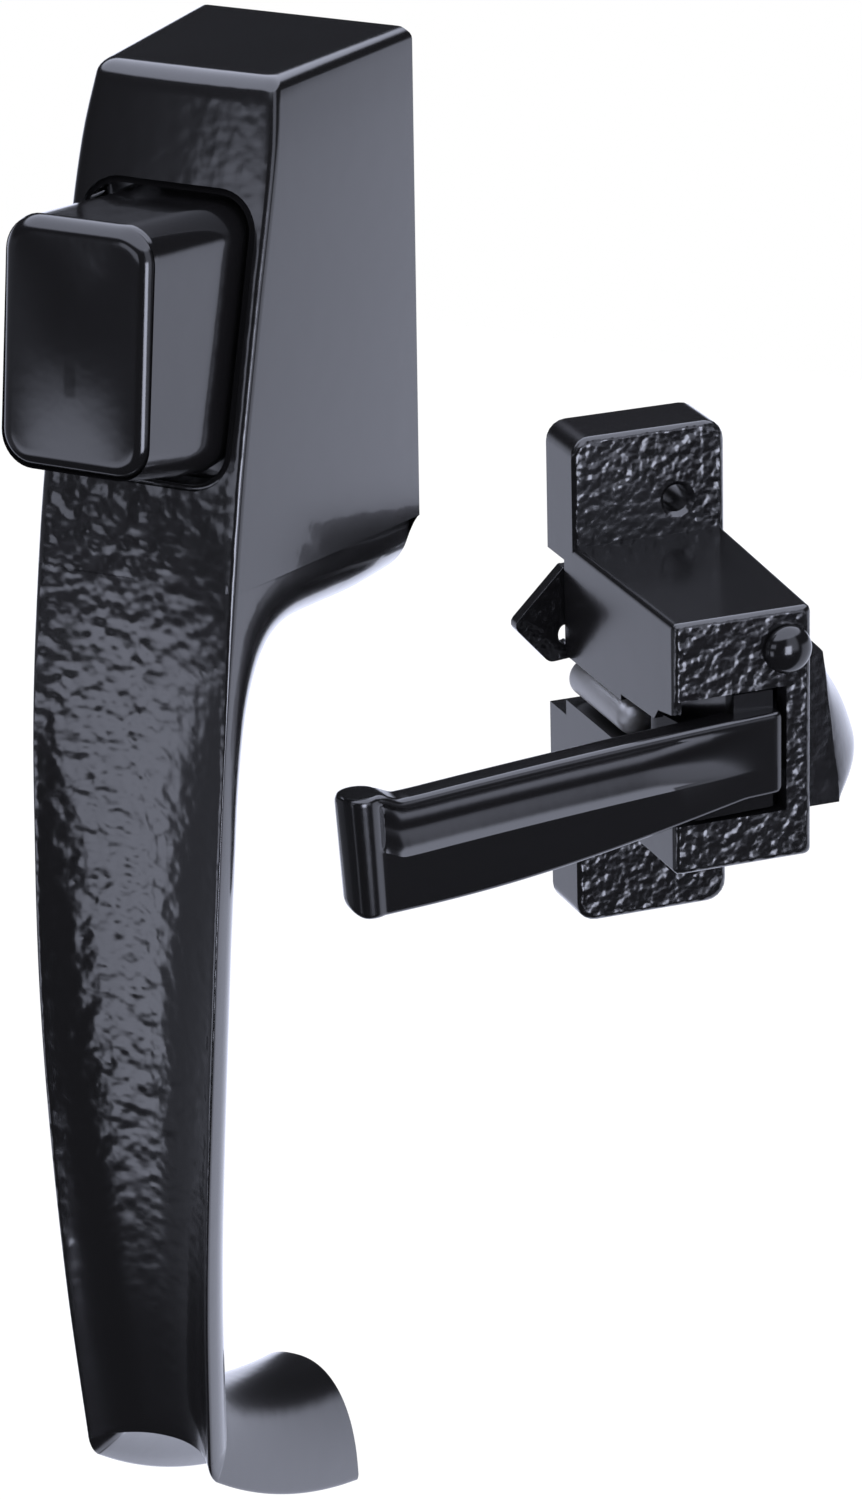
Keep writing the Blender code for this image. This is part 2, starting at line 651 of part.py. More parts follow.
def cavity_cutter(parent):
    """The hollow of the box, open to the door."""
    top = -BOX_WALL
    foot = min(OPENING_FOOT - HOLLOW_FOOT_MARGIN, plate_foot() - PLATE_END_PLAY)
    inner_back = BACK_HALF_WIDTH - BOX_WALL
    rings = []
    for share in (-0.05, 0.0, 0.25, 0.5, 0.75, 1.0):
        ring = []
        outline = rounded_outline(rectangle(-1.0, 1.0, 0.0, 1.0), [0, 0, 0, 0])
        for u, v in outline:
            z = blend(foot, top, v)
            front = smooth_value(FRONT_PROFILE, z) - BOX_WALL
            half = blend(inner_back, smooth_value(HALF_WIDTHS, z) - BOX_FRONT_WALL, max(share, 0.0))
            ring.append((u * half, -front * share, z))
        rings.append(ring)
    return cutter("cut_box_hollow", rings, parent)


def button_ring(depth_top, z_top, depth_foot, z_foot, half, radius, inset=0.0):
    """A rounded rectangle leaning between its top edge and its foot edge."""
    height = math.hypot(depth_foot - depth_top, z_top - z_foot)
    outline = rounded_outline(rectangle(-half + inset, half - inset, inset, height - inset),
                              max(radius - inset, 0.6), 5)
    ring = []
    for x, v in outline:
        share = v / height
        ring.append((x, -blend(depth_foot, depth_top, share), blend(z_foot, z_top, share)))
    return ring


def build_push_button(material, parent):
    front_slope_top = smooth_value(FRONT_PROFILE, OPENING_TOP)
    front_slope_foot = smooth_value(FRONT_PROFILE, OPENING_FOOT)
    seat = BOX_WALL + 0.9
    flange_top = OPENING_TOP + FLANGE_LIP
    flange_foot = OPENING_FOOT - FLANGE_LIP
    flange_half = OPENING_HALF_WIDTH - 0.6
    body_top = OPENING_TOP - BUTTON_PLAY - 0.3
    body_foot = OPENING_FOOT + BUTTON_PLAY + 0.3
    body_half = OPENING_HALF_WIDTH - BUTTON_PLAY
    rings = []
    for back in (FLANGE_THICKNESS, 0.0):
        rings.append(button_ring(front_slope_top - seat - back, flange_top, front_slope_foot - seat - back,
                                 flange_foot, flange_half, 2.0))
    rings.append(button_ring(front_slope_top - seat, body_top, front_slope_foot - seat, body_foot,
                             body_half, BUTTON_ROUND))
    rings.append(button_ring(front_slope_top, body_top, front_slope_foot, body_foot,
                             body_half, BUTTON_ROUND))
    face_top_depth, face_top = BUTTON_FACE_TOP
    face_foot_depth, face_foot = BUTTON_FACE_FOOT
    for share in (0.4, 0.75):
        rings.append(button_ring(blend(front_slope_top, face_top_depth, share),
                                 blend(body_top, face_top, share),
                                 blend(front_slope_foot, face_foot_depth, share),
                                 blend(body_foot, face_foot, share),
                                 blend(body_half, BUTTON_FACE_HALF_WIDTH, share), BUTTON_ROUND))
    for turn in (0, 30, 60, 90):
        t = math.radians(turn)
        back = BUTTON_EDGE_ROUND * (1 - math.sin(t))
        inset = BUTTON_EDGE_ROUND * (1 - math.cos(t))
        rings.append(button_ring(face_top_depth - back, face_top, face_foot_depth - back, face_foot,
                                 BUTTON_FACE_HALF_WIDTH, BUTTON_ROUND, inset))
    for share in (0.35, 0.7, 0.92):
        inset = BUTTON_EDGE_ROUND + (BUTTON_FACE_HALF_WIDTH - BUTTON_EDGE_ROUND) * share
        lift = BUTTON_CROWN * (1 - (1 - share) ** 2)
        rings.append(button_ring(face_top_depth + lift, face_top, face_foot_depth + lift, face_foot,
                                 BUTTON_FACE_HALF_WIDTH, BUTTON_ROUND, inset))
    button = make("push_button", rings, material, parent, 30.0)
    rod_z = -(UPPER_POST_DROP + LOWER_POST_DROP) / 2
    pocket = cutter("cut_button_pocket",
                    [button_ring(18.0, body_top - BUTTON_SHELL, 24.0, body_foot + BUTTON_SHELL,
                                 body_half - BUTTON_SHELL, 2.5),
                     button_ring(face_top_depth - 3.5, face_top - 3.0,
                                 face_foot_depth - 3.5, face_foot + 3.0,
                                 BUTTON_FACE_HALF_WIDTH - BUTTON_SHELL, 2.5)], parent)
    boss = cutter("keep_rod_boss", turned_along_y(0, rod_z, [(10.0, 4.4), (60.0, 4.4)]), parent)
    shape_with(pocket, "DIFFERENCE", boss)
    end_profile = [(10.0, 5.0), (spring_seat_depth(), 5.0)]
    boss_end = cutter("cut_boss_end", turned_along_y(0, rod_z, end_profile), parent)
    half = ROD_SIDE / 2 + GAP
    socket = cutter("cut_rod_socket",
                    prism_along_y(rectangle(-half, half, rod_z - half, rod_z + half), 20.0,
                                  spring_seat_depth() + ROD_SOCKET + GAP), parent)
    shape_with(button, "DIFFERENCE", pocket, boss_end, socket, rod_pin_hole("cut_boss_pin_hole", parent))
    return button


def spring_seat_depth():
    """Depth of the face inside the button that the return spring pushes on."""
    return smooth_value(FRONT_PROFILE, OPENING_TOP) + 2.0


def build_push_rod(material, parent):
    rod_z = -(UPPER_POST_DROP + LOWER_POST_DROP) / 2
    half = ROD_SIDE / 2
    rings = []
    for depth, inset in ((-ROD_REACH, ROD_TIP_CHAMFER), (-ROD_REACH + ROD_TIP_CHAMFER, 0.0),
                         (spring_seat_depth() + ROD_SOCKET, 0.0)):
        outline = rounded_outline(rectangle(-half + inset, half - inset, rod_z - half + inset,
                                            rod_z + half - inset), 0.5, 2)
        rings.append([(x, -depth, z) for x, z in outline])
    rod = make("push_rod", rings, material, parent)
    shape_with(rod, "DIFFERENCE", rod_pin_hole("cut_rod_pin_hole", parent))
    return rod


def build_button_spring(material, parent):
    rod_z = -(UPPER_POST_DROP + LOWER_POST_DROP) / 2
    start = POST_RECESS + PLATE_THICKNESS + 2 * GAP + SPRING_WIRE_RADIUS
    end = spring_seat_depth() - GAP - SPRING_WIRE_RADIUS
    whole = 2 * math.pi * SPRING_TURNS

    def path(angle):
        closed = 2 * math.pi * 0.75
        share = min(max((angle - closed) / (whole - 2 * closed), 0.0), 1.0)
        depth = blend(start, end, share)
        radius = SPRING_RADIUS
        return (radius * math.cos(angle), -depth, rod_z + radius * math.sin(angle))

    rings = coil_rings(path, SPRING_TURNS, SPRING_WIRE_RADIUS, 14, 6)
    return make("button_spring", rings, material, parent)


def plate_foot():
    """Height of the plate's lower end, above the lower screw's boss."""
    return -LOWER_POST_DROP + POST_RADIUS + PLATE_END_SPACE


def build_retainer_plate(material, parent):
    rod_z = -(UPPER_POST_DROP + LOWER_POST_DROP) / 2
    half_width = BACK_HALF_WIDTH - BOX_WALL - PLATE_MARGIN
    outline = rounded_outline(rectangle(-half_width, half_width, plate_foot(),
                                        -UPPER_POST_DROP - POST_RADIUS - GAP), 2.0, 4)
    back = POST_RECESS - PLATE_THICKNESS - GAP
    plate = make("retainer_plate", prism_along_y(outline, back, back + PLATE_THICKNESS), material, parent)
    half = ROD_SIDE / 2 + PLATE_HOLE_PLAY
    cuts = [cutter("cut_plate_rod_hole",
                   prism_along_y(rectangle(-half, half, rod_z - half, rod_z + half), -OVERCUT, 5.0),
                   parent)]
    for index, (x, z) in enumerate(PLATE_SCREWS):
        cuts.append(cutter("cut_plate_screw_hole_%d" % (index + 1),
                           turned_along_y(x, z, [(-OVERCUT, PLATE_SCREW_RADIUS + GAP),
                                                 (5.0, PLATE_SCREW_RADIUS + GAP)], 16), parent))
    shape_with(plate, "DIFFERENCE", *cuts)
    return plate


def build_retainer_screw(name, place, material, parent):
    """A small pan head screw that holds the plate on its boss."""
    back = POST_RECESS - PLATE_THICKNESS - GAP
    head = back - GAP
    tip = POST_RECESS + PLATE_SCREW_LENGTH
    profile = [(head - PLATE_SCREW_HEAD, PLATE_SCREW_HEAD_RADIUS - 0.5),
               (head - PLATE_SCREW_HEAD + 0.35, PLATE_SCREW_HEAD_RADIUS), (head, PLATE_SCREW_HEAD_RADIUS),
               (head, PLATE_SCREW_RADIUS), (tip - 1.5, PLATE_SCREW_RADIUS), (tip - GAP, 0.5)]
    return make(name, turned_along_y(*place, profile, 16), material, parent)


def build_latch_case(material, parent):
    tab_outline = rounded_outline(rectangle(0, TAB_WIDTH, -TAB_HEIGHT, 0), TAB_CORNER_ROUND, 5)
    case = make("latch_case", rounded_prism(tab_outline, lambda x, z, depth: (x, -depth, z), 0.0,
                                            TAB_THICKNESS, EDGE_ROUND, at_low=False),
                material, parent, 40.0)
    block_rings = []
    turns = [math.radians(a) for a in (0, 30, 60, 90)]
    levels = [(TAB_THICKNESS / 2, 0.0)]
    levels += [(CASE_DEPTH - EDGE_ROUND * (1 - math.sin(t)), EDGE_ROUND * (1 - math.cos(t))) for t in turns]
    for depth, inset in levels:
        right = blend(TAB_WIDTH, CASE_FRONT_WIDTH, (depth - TAB_THICKNESS) / (CASE_DEPTH - TAB_THICKNESS))
        right = min(right, TAB_WIDTH)
        outline = rounded_outline(rectangle(CASE_LEFT + inset, right - inset, CASE_FOOT + inset,
                                            CASE_TOP - inset), EDGE_ROUND, 3)
        block_rings.append([(x, -depth, z) for x, z in outline])
    block = cutter("join_case_block", block_rings, parent)
    shape_with(case, "UNION", block)

    outside = -TAB_WIDTH
    ahead = -2 * CASE_DEPTH
    mouth = cutter("cut_mouth", prism_along_z(
        rounded_outline([(outside, ahead), (SPINE_FACE, ahead), (SPINE_FACE, -MOUTH_BACK),
                         (LEFT_WALL, -MOUTH_BACK), (LEFT_WALL, -LEFT_WALL_DEPTH),
                         (outside, -LEFT_WALL_DEPTH)],
                        [0, 0, MOUTH_CORNER, 0, 0, 0], 4), MOUTH_FOOT, MOUTH_TOP), parent)
    cheek_outline = [(-depth, MOUTH_TOP + z) for depth, z in CHEEK_EDGE]
    cheek_outline += [(-CHEEK_EDGE[-1][0], MOUTH_TOP + EDGE_ROUND),
                      (-CHEEK_EDGE[0][0], MOUTH_TOP + EDGE_ROUND)]
    cheek = cutter("keep_cheek",
                   [[(x, y, z) for y, z in cheek_outline] for x in (outside / 2, CHEEK_THICKNESS)],
                   parent)
    shape_with(mouth, "DIFFERENCE", cheek)
    slot = cutter("cut_stop_slot", prism_along_y(
        rectangle(outside, STOP_X + STOP_RADIUS + STOP_GAP, SLOT_FOOT, SLOT_TOP),
        -OVERCUT, LEFT_WALL_DEPTH + OVERCUT), parent)
    channel = cutter("cut_bolt_channel", prism_along_y(
        rectangle(BOLT_INNER - BOLT_CHANNEL_LENGTH, TAB_WIDTH + BOLT_CHANNEL_LENGTH,
                  BOLT_FOOT - BOLT_CHANNEL_PLAY, BOLT_TOP + BOLT_CHANNEL_PLAY),
        BOLT_BACK - BOLT_CHANNEL_PLAY, BOLT_FRONT + BOLT_CHANNEL_PLAY), parent)
    pocket = cutter("cut_lock_pocket", prism_along_y(
        rounded_outline(rectangle(outside, POCKET_RIGHT, POCKET_FOOT, POCKET_TOP), [0, 1.5, 1.5, 0], 3),
        -OVERCUT, POCKET_DEPTH), parent)
    disc_depth = LOCK_PLATE_FRONT + 2 * GAP + LOCK_WASHER_THICKNESS
    disc_radius = LOCK_DISC_RADIUS + 2 * GAP
    disc = cutter("cut_lock_disc", turned_along_y(
        LOCK_X, LOCK_Z, [(-OVERCUT, disc_radius), (disc_depth, disc_radius)]), parent)
    bore = cutter("cut_lock_bore", turned_along_y(
        LOCK_X, LOCK_Z, [(OVERCUT, LOCK_SHAFT_RADIUS + LOCK_SHAFT_FIT),
                         (CASE_DEPTH + OVERCUT, LOCK_SHAFT_RADIUS + LOCK_SHAFT_FIT)], 20), parent)
    hinge = cutter("cut_hinge_bore", turned_along_z(
        HINGE_X, -HINGE_DEPTH, [(CASE_FOOT - OVERCUT, HINGE_RADIUS + HINGE_FIT),
                                (MOUTH_TOP + HINGE_PIN_SEAT, HINGE_RADIUS + HINGE_FIT)], 20), parent)
    half = ROD_PASSAGE / 2
    passage = cutter("cut_rod_passage", prism_along_y(
        rounded_outline(rectangle(SCREW_COLUMN - half, SCREW_COLUMN + half,
                                  ROD_LEVEL - half, ROD_LEVEL + half),
                        0.8, 3), -OVERCUT, MOUTH_BACK + OVERCUT), parent)
    ring_seat = cutter("cut_ring_seat", turned_along_z(
        HINGE_X, -HINGE_DEPTH, [(CASE_FOOT - OVERCUT, RING_RADIUS + GAP),
                                (CASE_FOOT + RING_THICKNESS + 0.4, RING_RADIUS + GAP)], 20), parent)
    cuts = [mouth, slot, channel, pocket, disc, bore, hinge, passage, ring_seat]
    for index, drop in enumerate((TOP_SCREW_DROP, TOP_SCREW_DROP + SCREW_SPACING)):
        profile = [(-OVERCUT, SCREW_HOLE_RADIUS), (TAB_THICKNESS - SINK_DEPTH, SCREW_HOLE_RADIUS),
                   (TAB_THICKNESS, SINK_RADIUS), (TAB_THICKNESS + OVERCUT, SINK_RADIUS)]
        cuts.append(cutter("cut_screw_hole_%d" % (index + 1),
                           turned_along_y(SCREW_COLUMN, -drop, profile, 20), parent))
    shape_with(case, "DIFFERENCE", *cuts)
    return case


def lever_front(x):
    """Depth of the lever's front face at x, for the arm's slant."""
    return LEVER_FRONT_DEPTH + (LEVER_RIGHT_END - x) * math.tan(math.radians(LEVER_ANGLE))


def smooth_step(value):
    share = min(max(value, 0.0), 1.0)
    return share * share * (3 - 2 * share)


def quarter_inset(reach, radius):
    """How far a rounded end of that radius draws in at the distance reach from its tip."""
    share = min(reach / radius, 1.0)
    return radius * (1 - math.sqrt(1 - (1 - share) ** 2))


def lever_section(x):
    """A section of the arm at x: channelled front, plain band below it, and the round pad."""
    left = LEVER_RIGHT_END - LEVER_REACH
    pad_radius = PAD_LENGTH / 2
    from_left = x - left
    inset = quarter_inset(LEVER_RIGHT_END - x, LEVER_END_ROUND)
    fade = smooth_step((left + PAD_LENGTH + 2.0 - x) / 3.0)
    share = min(max((LEVER_RIGHT_END - 5.0 - x) / (LEVER_REACH - 14.0), 0.0), 1.0)
    top = LEVER_TOP + PAD_RISE * fade - ARM_SAG * share * share - inset - quarter_inset(from_left, 0.7)
    foot = blend(LEVER_FOOT, LEVER_END_FOOT, math.sin(share * math.pi / 2)) + inset
    foot += quarter_inset(from_left, PAD_FOOT_ROUND)
    plane = lever_front(x) - inset
    middle = lever_front(left + pad_radius) - PAD_THICKNESS / 2 + PAD_PROUD
    bulge = 1 - ((from_left - pad_radius) / pad_radius) ** 2
    pad_half = PAD_THICKNESS / 2 * math.sqrt(bulge) if bulge > 0 else 0.0
    in_pad = from_left < pad_radius
    channel = CHANNEL_DEPTH * smooth_step((LEVER_RIGHT_END - 1.5 - x) / CHANNEL_FADE)

    def front_depth(sunk):
        flat = plane - sunk
        if in_pad:
            return middle + pad_half
        return max(flat, middle + pad_half) if pad_half else flat

    back = plane + inset - ARM_THICKNESS + inset
    if pad_half:
        back = middle - pad_half if in_pad else min(back, middle - pad_half)
    corner = 0.6
    points = [(front_depth(0.0) - corner, top), (front_depth(0.0), top - corner)]
    channel_top = top - CHANNEL_RIM
    for s in (0.0, 0.12, 0.3, 0.5, 0.7, 0.88, 1.0):
        points.append((front_depth(channel * math.sin(math.pi * s) ** 0.8),
                       channel_top - CHANNEL_HEIGHT * s))
    half = max(min((front_depth(0.0) - back) / 2 - 0.05, 1.2), 0.3)
    points += [(front_depth(0.0), foot + corner), (front_depth(0.0) - corner, foot), (back + half, foot),
               (back + half / 4, foot + 0.9), (back, foot + 2.2), (back, top - 2.2),
               (back + half / 4, top - 0.9), (back + half, top)]
    lean = PAD_LEAN * smooth_step(1 - from_left / 14.0)
    return [(x + lean * (top - z) / (top - foot), -depth, z) for depth, z in points]


def build_lever(material, pivot):
    """Arm, end pad and hub of the lever, one casting, drawn about its hinge."""
    left = LEVER_RIGHT_END - LEVER_REACH
    reaches = [0.12, 0.35, 0.75, 1.3, 1.9, 2.6, 3.3, 3.9, 4.4, 4.8, PAD_LENGTH, PAD_LENGTH + 0.8,
               PAD_LENGTH + 1.8]
    arm = (left + PAD_LENGTH + 3.8, LEVER_RIGHT_END - 8.5)
    stations = [left + reach for reach in reaches]
    stations += [blend(*arm, share) for share in (0.0, 0.184697, 0.39578, 0.633245, 0.844327, 1.0)]
    stations += [LEVER_RIGHT_END - back for back in (6.5, 4.5, 3.0, 1.0, 0.6, 0.3, 0.1, 0.0)]
    lever = make("lever", [lever_section(x) for x in stations], material, pivot, 40.0)
    hub = cutter("join_hub", prism_along_z(hub_points(HUB_LOBE_X, HUB_FRONT_LEFT),
                                           HUB_FOOT, HUB_SHOULDER), pivot)
    crown = cutter("join_hub_crown", prism_along_z(hub_points(CROWN_LOBE_X, CROWN_FRONT_LEFT),
                                                   HUB_SHOULDER - OVERCUT, HUB_TOP), pivot)
    shape_with(lever, "UNION", hub, crown)
    spring_room = cutter("cut_hub_middle", hub_middle_rings(), pivot)
    core_profile = [(HUB_FOOT - OVERCUT, HUB_CORE_RADIUS), (HUB_TOP + OVERCUT, HUB_CORE_RADIUS)]
    core = cutter("keep_hub_core", turned_along_z(HINGE_X, -HINGE_DEPTH, core_profile), pivot)
    shape_with(spring_room, "DIFFERENCE", core)
    bore = cutter("cut_lever_bore", turned_along_z(
        HINGE_X, -HINGE_DEPTH, [(HUB_FOOT - OVERCUT, HINGE_RADIUS + HINGE_FIT),
                                (HUB_TOP + OVERCUT, HINGE_RADIUS + HINGE_FIT)], 20), pivot)
    drive_x = HINGE_X + DRIVE_OFFSET[0]
    drive_y = -HINGE_DEPTH + DRIVE_OFFSET[1]
    drive = cutter("cut_drive_hole", turned_along_z(
        drive_x, drive_y, [(HUB_FOOT + DRIVE_PIN_FLOOR, DRIVE_PIN_RADIUS + GAP),
                           (HUB_TOP + OVERCUT, DRIVE_PIN_RADIUS + GAP)], 16), pivot)
    shape_with(lever, "DIFFERENCE", spring_room, bore, drive)
    to_hinge = Matrix.Translation(Vector((-HINGE_X, HINGE_DEPTH, 0)) * MM)
    for piece in (lever, hub, crown, spring_room, core, bore, drive):
        piece.data.transform(to_hinge)
    return lever


def hub_points(lobe, front_left):
    """Plan of the hub: round about the hinge, a stop lobe at its left, flanks that meet the arm."""
    points = []
    for k in range(15):
        angle = math.radians(blend(0, 180, k / 14))
        points.append((HINGE_X + HUB_RADIUS * math.cos(angle), -HINGE_DEPTH + HUB_RADIUS * math.sin(angle)))
    arm_back = lever_front(front_left) - ARM_THICKNESS
    right = LEVER_RIGHT_END - LEVER_END_ROUND + 0.1
    points += [(lobe, -HINGE_DEPTH - HUB_LOBE[0]), (lobe + 0.1, -HINGE_DEPTH - HUB_LOBE[1]),
               (front_left, -arm_back + GAP), (front_left, -arm_back - ARM_THICKNESS / 2),
               (right, -lever_front(right) + 1.4)]
    return points


def hub_middle_rings():
    """Room between the hub's cheeks for the bolt's tongue and the lever's spring."""
    drive_x = HINGE_X + DRIVE_OFFSET[0]
    drive_y = -HINGE_DEPTH + DRIVE_OFFSET[1]
    room = TONGUE_HALF_WIDTH + TONGUE_PLAY
    rest = drive_x - TONGUE_REST - 0.9
    left = HINGE_X - HUB_RADIUS - 0.7
    far_right = 2 * TAB_WIDTH
    behind = -HINGE_DEPTH + 2 * HUB_RADIUS
    outline = [(rest, drive_y - room), (far_right, drive_y - room - OVERCUT), (far_right, behind),
               (left, behind), (left, -HINGE_DEPTH - 2.5), (left + 2.0, -HINGE_DEPTH - HUB_RADIUS + 0.1),
               (rest, drive_y + room + 0.25)]
    return prism_along_z(outline, HUB_FOOT + CHEEK_PLATE, HUB_TOP - CHEEK_PLATE)


def build_hinge_pin(material, parent):
    top = MOUTH_TOP + HINGE_PIN_SEAT - GAP
    foot = CASE_FOOT + 0.4
    profile = [(foot, HINGE_RADIUS - 0.3), (foot + 0.3, HINGE_RADIUS), (top - 0.3, HINGE_RADIUS),
               (top, HINGE_RADIUS - 0.3)]
    return make("hinge_pin", turned_along_z(HINGE_X, -HINGE_DEPTH, profile, 20), material, parent)


def build_drive_pin(material, pivot):
    foot = HUB_FOOT + DRIVE_PIN_FLOOR + GAP
    profile = [(foot, DRIVE_PIN_RADIUS - 0.2), (foot + 0.3, DRIVE_PIN_RADIUS),
               (HUB_TOP - 0.3, DRIVE_PIN_RADIUS), (HUB_TOP, DRIVE_PIN_RADIUS - 0.2)]
    return make("drive_pin", turned_along_z(*DRIVE_OFFSET, profile, 16), material, pivot)


def build_lever_spring(material, parent):
    """Torsion spring about the hub's core, its leg in the case's passage."""
    middle = (HUB_TOP + HUB_FOOT) / 2
    pitch = 2 * LEVER_SPRING_WIRE + 0.25
    whole = 2 * math.pi * LEVER_SPRING_TURNS
    start = math.radians(200)

    def path(angle):
        z = middle + pitch * LEVER_SPRING_TURNS * (angle / whole - 0.5)
        return (HINGE_X + LEVER_SPRING_RADIUS * math.cos(start + angle),
                -HINGE_DEPTH + LEVER_SPRING_RADIUS * math.sin(start + angle), z)

    rings = coil_rings(path, LEVER_SPRING_TURNS, LEVER_SPRING_WIRE, 14, 6)
    return make("lever_spring", rings, material, parent)


def bolt_nose_rings():
    """Level sections of the beak: a flat front, a slanting face that swells downwards."""
    rings = []
    for share, edge_reach, nose_reach in BOLT_SECTIONS:
        z = blend(BOLT_TOP, BOLT_FOOT, share)
        edge = BOLT_INNER + edge_reach
        reach = BOLT_INNER + nose_reach
        ring = [(BOLT_INNER, -BOLT_BACK, z), (BOLT_INNER, -BOLT_FRONT, z), (edge, -BOLT_FRONT, z)]
        steps = 7
        for k in range(1, steps + 1):
            turn = math.radians(90 * k / steps)
            ring.append((edge + (reach - edge) * math.sin(turn) ** 0.9,
                         -BOLT_FRONT + (BOLT_REST_DEPTH - BOLT_HEEL) * (1 - math.cos(turn)) ** 0.8, z))
        ring.append((reach - 0.6 * min(1, (reach - edge)), -BOLT_BACK, z))
        rings.append(ring)
    return rings


def build_bolt(material, parent):
    bolt = make("bolt", bolt_nose_rings(), material, parent, 40.0)
    drive_x = HINGE_X + DRIVE_OFFSET[0]
    drive_y = -HINGE_DEPTH + DRIVE_OFFSET[1]
    tongue_outline = rounded_outline(rectangle(drive_x - TONGUE_REST, BOLT_INNER + TONGUE_HALF_WIDTH,
                                               drive_y - TONGUE_HALF_WIDTH, drive_y + TONGUE_HALF_WIDTH),
                                     [1.0, 0, 0, 1.0], 3)
    tongue = cutter("join_tongue", prism_along_z(tongue_outline, TONGUE_FOOT, TONGUE_TOP), parent)
    shape_with(bolt, "UNION", tongue)
    play = DRIVE_PIN_RADIUS + GAP
    slot_outline = rounded_outline(rectangle(drive_x - play, drive_x + play, drive_y - play - 0.15,
                                             drive_y + play + 0.2), 0.9, 4)
    slot = cutter("cut_tongue_slot",
                  prism_along_z(slot_outline, TONGUE_FOOT - OVERCUT, TONGUE_TOP + OVERCUT), parent)
    shape_with(bolt, "DIFFERENCE", slot)
    return bolt


def build_stop_pin(material, parent):
    middle = (SLOT_TOP + SLOT_FOOT) / 2
    profile = [(STOP_TAIL_DEPTH, STOP_RADIUS - 0.6), (STOP_TAIL_DEPTH + 0.6, STOP_RADIUS)]
    for k in range(6):
        turn = math.radians(90 * k / 5)
        profile.append((STOP_TIP_DEPTH - STOP_RADIUS + STOP_RADIUS * math.sin(turn),
                        max(STOP_RADIUS * math.cos(turn), 0.25)))
    return make("stop_pin", turned_along_y(STOP_X, middle, profile, 20), material, parent)


def build_hinge_ring(material, parent):
    """Push-on ring that holds the hinge pin in the case."""
    low = CASE_FOOT + 0.2
    ring = make("hinge_pin_ring", turned_along_z(
        HINGE_X, -HINGE_DEPTH, [(low, RING_RADIUS - 0.1), (low + 0.1, RING_RADIUS),
                                (low + RING_THICKNESS - 0.1, RING_RADIUS),
                                (low + RING_THICKNESS, RING_RADIUS - 0.1)], 20), material, parent)
    hole = cutter("cut_ring_hole", turned_along_z(
        HINGE_X, -HINGE_DEPTH, [(low - OVERCUT, HINGE_RADIUS + HINGE_FIT),
                                (low + RING_THICKNESS + OVERCUT, HINGE_RADIUS + HINGE_FIT)], 20), parent)
    shape_with(ring, "DIFFERENCE", hole)
    return ring


def build_rod_pin(material, parent):
    """Roll pin across the button's boss and the end of the push rod."""
    rod_z = -(UPPER_POST_DROP + LOWER_POST_DROP) / 2
    depth = spring_seat_depth() + ROD_SOCKET / 2
    rings = [[(x, -depth + v, rod_z + w) for v, w in circle(0, 0, ROD_PIN_RADIUS, 16)]
             for x in (-ROD_PIN_HALF_LENGTH, ROD_PIN_HALF_LENGTH)]
    return make("rod_pin", rings, material, parent)


def rod_pin_hole(name, parent):
    rod_z = -(UPPER_POST_DROP + LOWER_POST_DROP) / 2
    depth = spring_seat_depth() + ROD_SOCKET / 2
    radius = ROD_PIN_RADIUS + ROD_PIN_FIT
    return cutter(name, [[(x, -depth + v, rod_z + w) for v, w in circle(0, 0, radius, 16)]
                         for x in (-ROD_PIN_HALF_LENGTH - 2 * GAP, ROD_PIN_HALF_LENGTH + 2 * GAP)], parent)


def build_lock_washer(material, parent):
    """Spring washer between the lock plate and the case, which holds the lock where it is set."""
    front = LOCK_PLATE_FRONT + GAP + LOCK_WASHER_THICKNESS
    profile = [(front - LOCK_WASHER_THICKNESS, LOCK_WASHER_RADIUS), (front, LOCK_WASHER_RADIUS)]
    washer = make("lock_washer", turned_along_y(LOCK_X, LOCK_Z, profile, 24), material, parent)
    hole = cutter("cut_washer_hole", turned_along_y(
        LOCK_X, LOCK_Z, [(0.0, LOCK_SHAFT_RADIUS + GAP),
                         (front + OVERCUT, LOCK_SHAFT_RADIUS + GAP)], 20), parent)
    shape_with(washer, "DIFFERENCE", hole)
    return washer


def lock_plate_outline():
    """Plate of the night lock seen from the front, about its shaft, with the hook at its left."""
    arc = [(LOCK_DISC_RADIUS * math.cos(math.radians(a)), LOCK_DISC_RADIUS * math.sin(math.radians(a)))
           for a in range(-75, 151, 15)]
    return arc + rounded_outline(HOOK_CORNERS, HOOK_ROUNDS, 3)


def build_lock_lever(material, pivot):
    outline = lock_plate_outline()
    back = LOCK_PLATE_FRONT - LOCK_PLATE_THICKNESS
    plate = make("lock_lever", [[(x, -depth, z) for x, z in outline] for depth in (back, LOCK_PLATE_FRONT)],
                 material, pivot)
    radius = LOCK_SHAFT_RADIUS + GAP
    hole_profile = [(back - OVERCUT, radius), (LOCK_PLATE_FRONT + OVERCUT, radius)]
    hole = cutter("cut_lock_lever_hole", turned_along_y(0, 0, hole_profile, 20), pivot)
    shape_with(plate, "DIFFERENCE", hole)
    return plate


def build_lock_shaft(material, pivot):
    """Shaft through the case, with its domed head in front and a riveted end behind."""
    back = LOCK_PLATE_FRONT - LOCK_PLATE_THICKNESS
    head = CASE_DEPTH + GAP
    profile = [(back - GAP - 1.2, LOCK_SHAFT_RADIUS + 0.3), (back - GAP - 0.9, LOCK_SHAFT_RADIUS + 0.9),
               (back - GAP, LOCK_SHAFT_RADIUS + 0.9), (back - GAP, LOCK_SHAFT_RADIUS),
               (head, LOCK_SHAFT_RADIUS), (head, DOME_RADIUS - 0.15), (head + 0.3, DOME_RADIUS)]
    for k in range(1, 7):
        turn = math.radians(90 * k / 6)
        profile.append((head + 0.3 + (DOME_HEIGHT - 0.3) * math.sin(turn),
                        max(DOME_RADIUS * math.cos(turn), 0.2)))
    return make("lock_shaft", turned_along_y(0, 0, profile, 24), material, pivot)


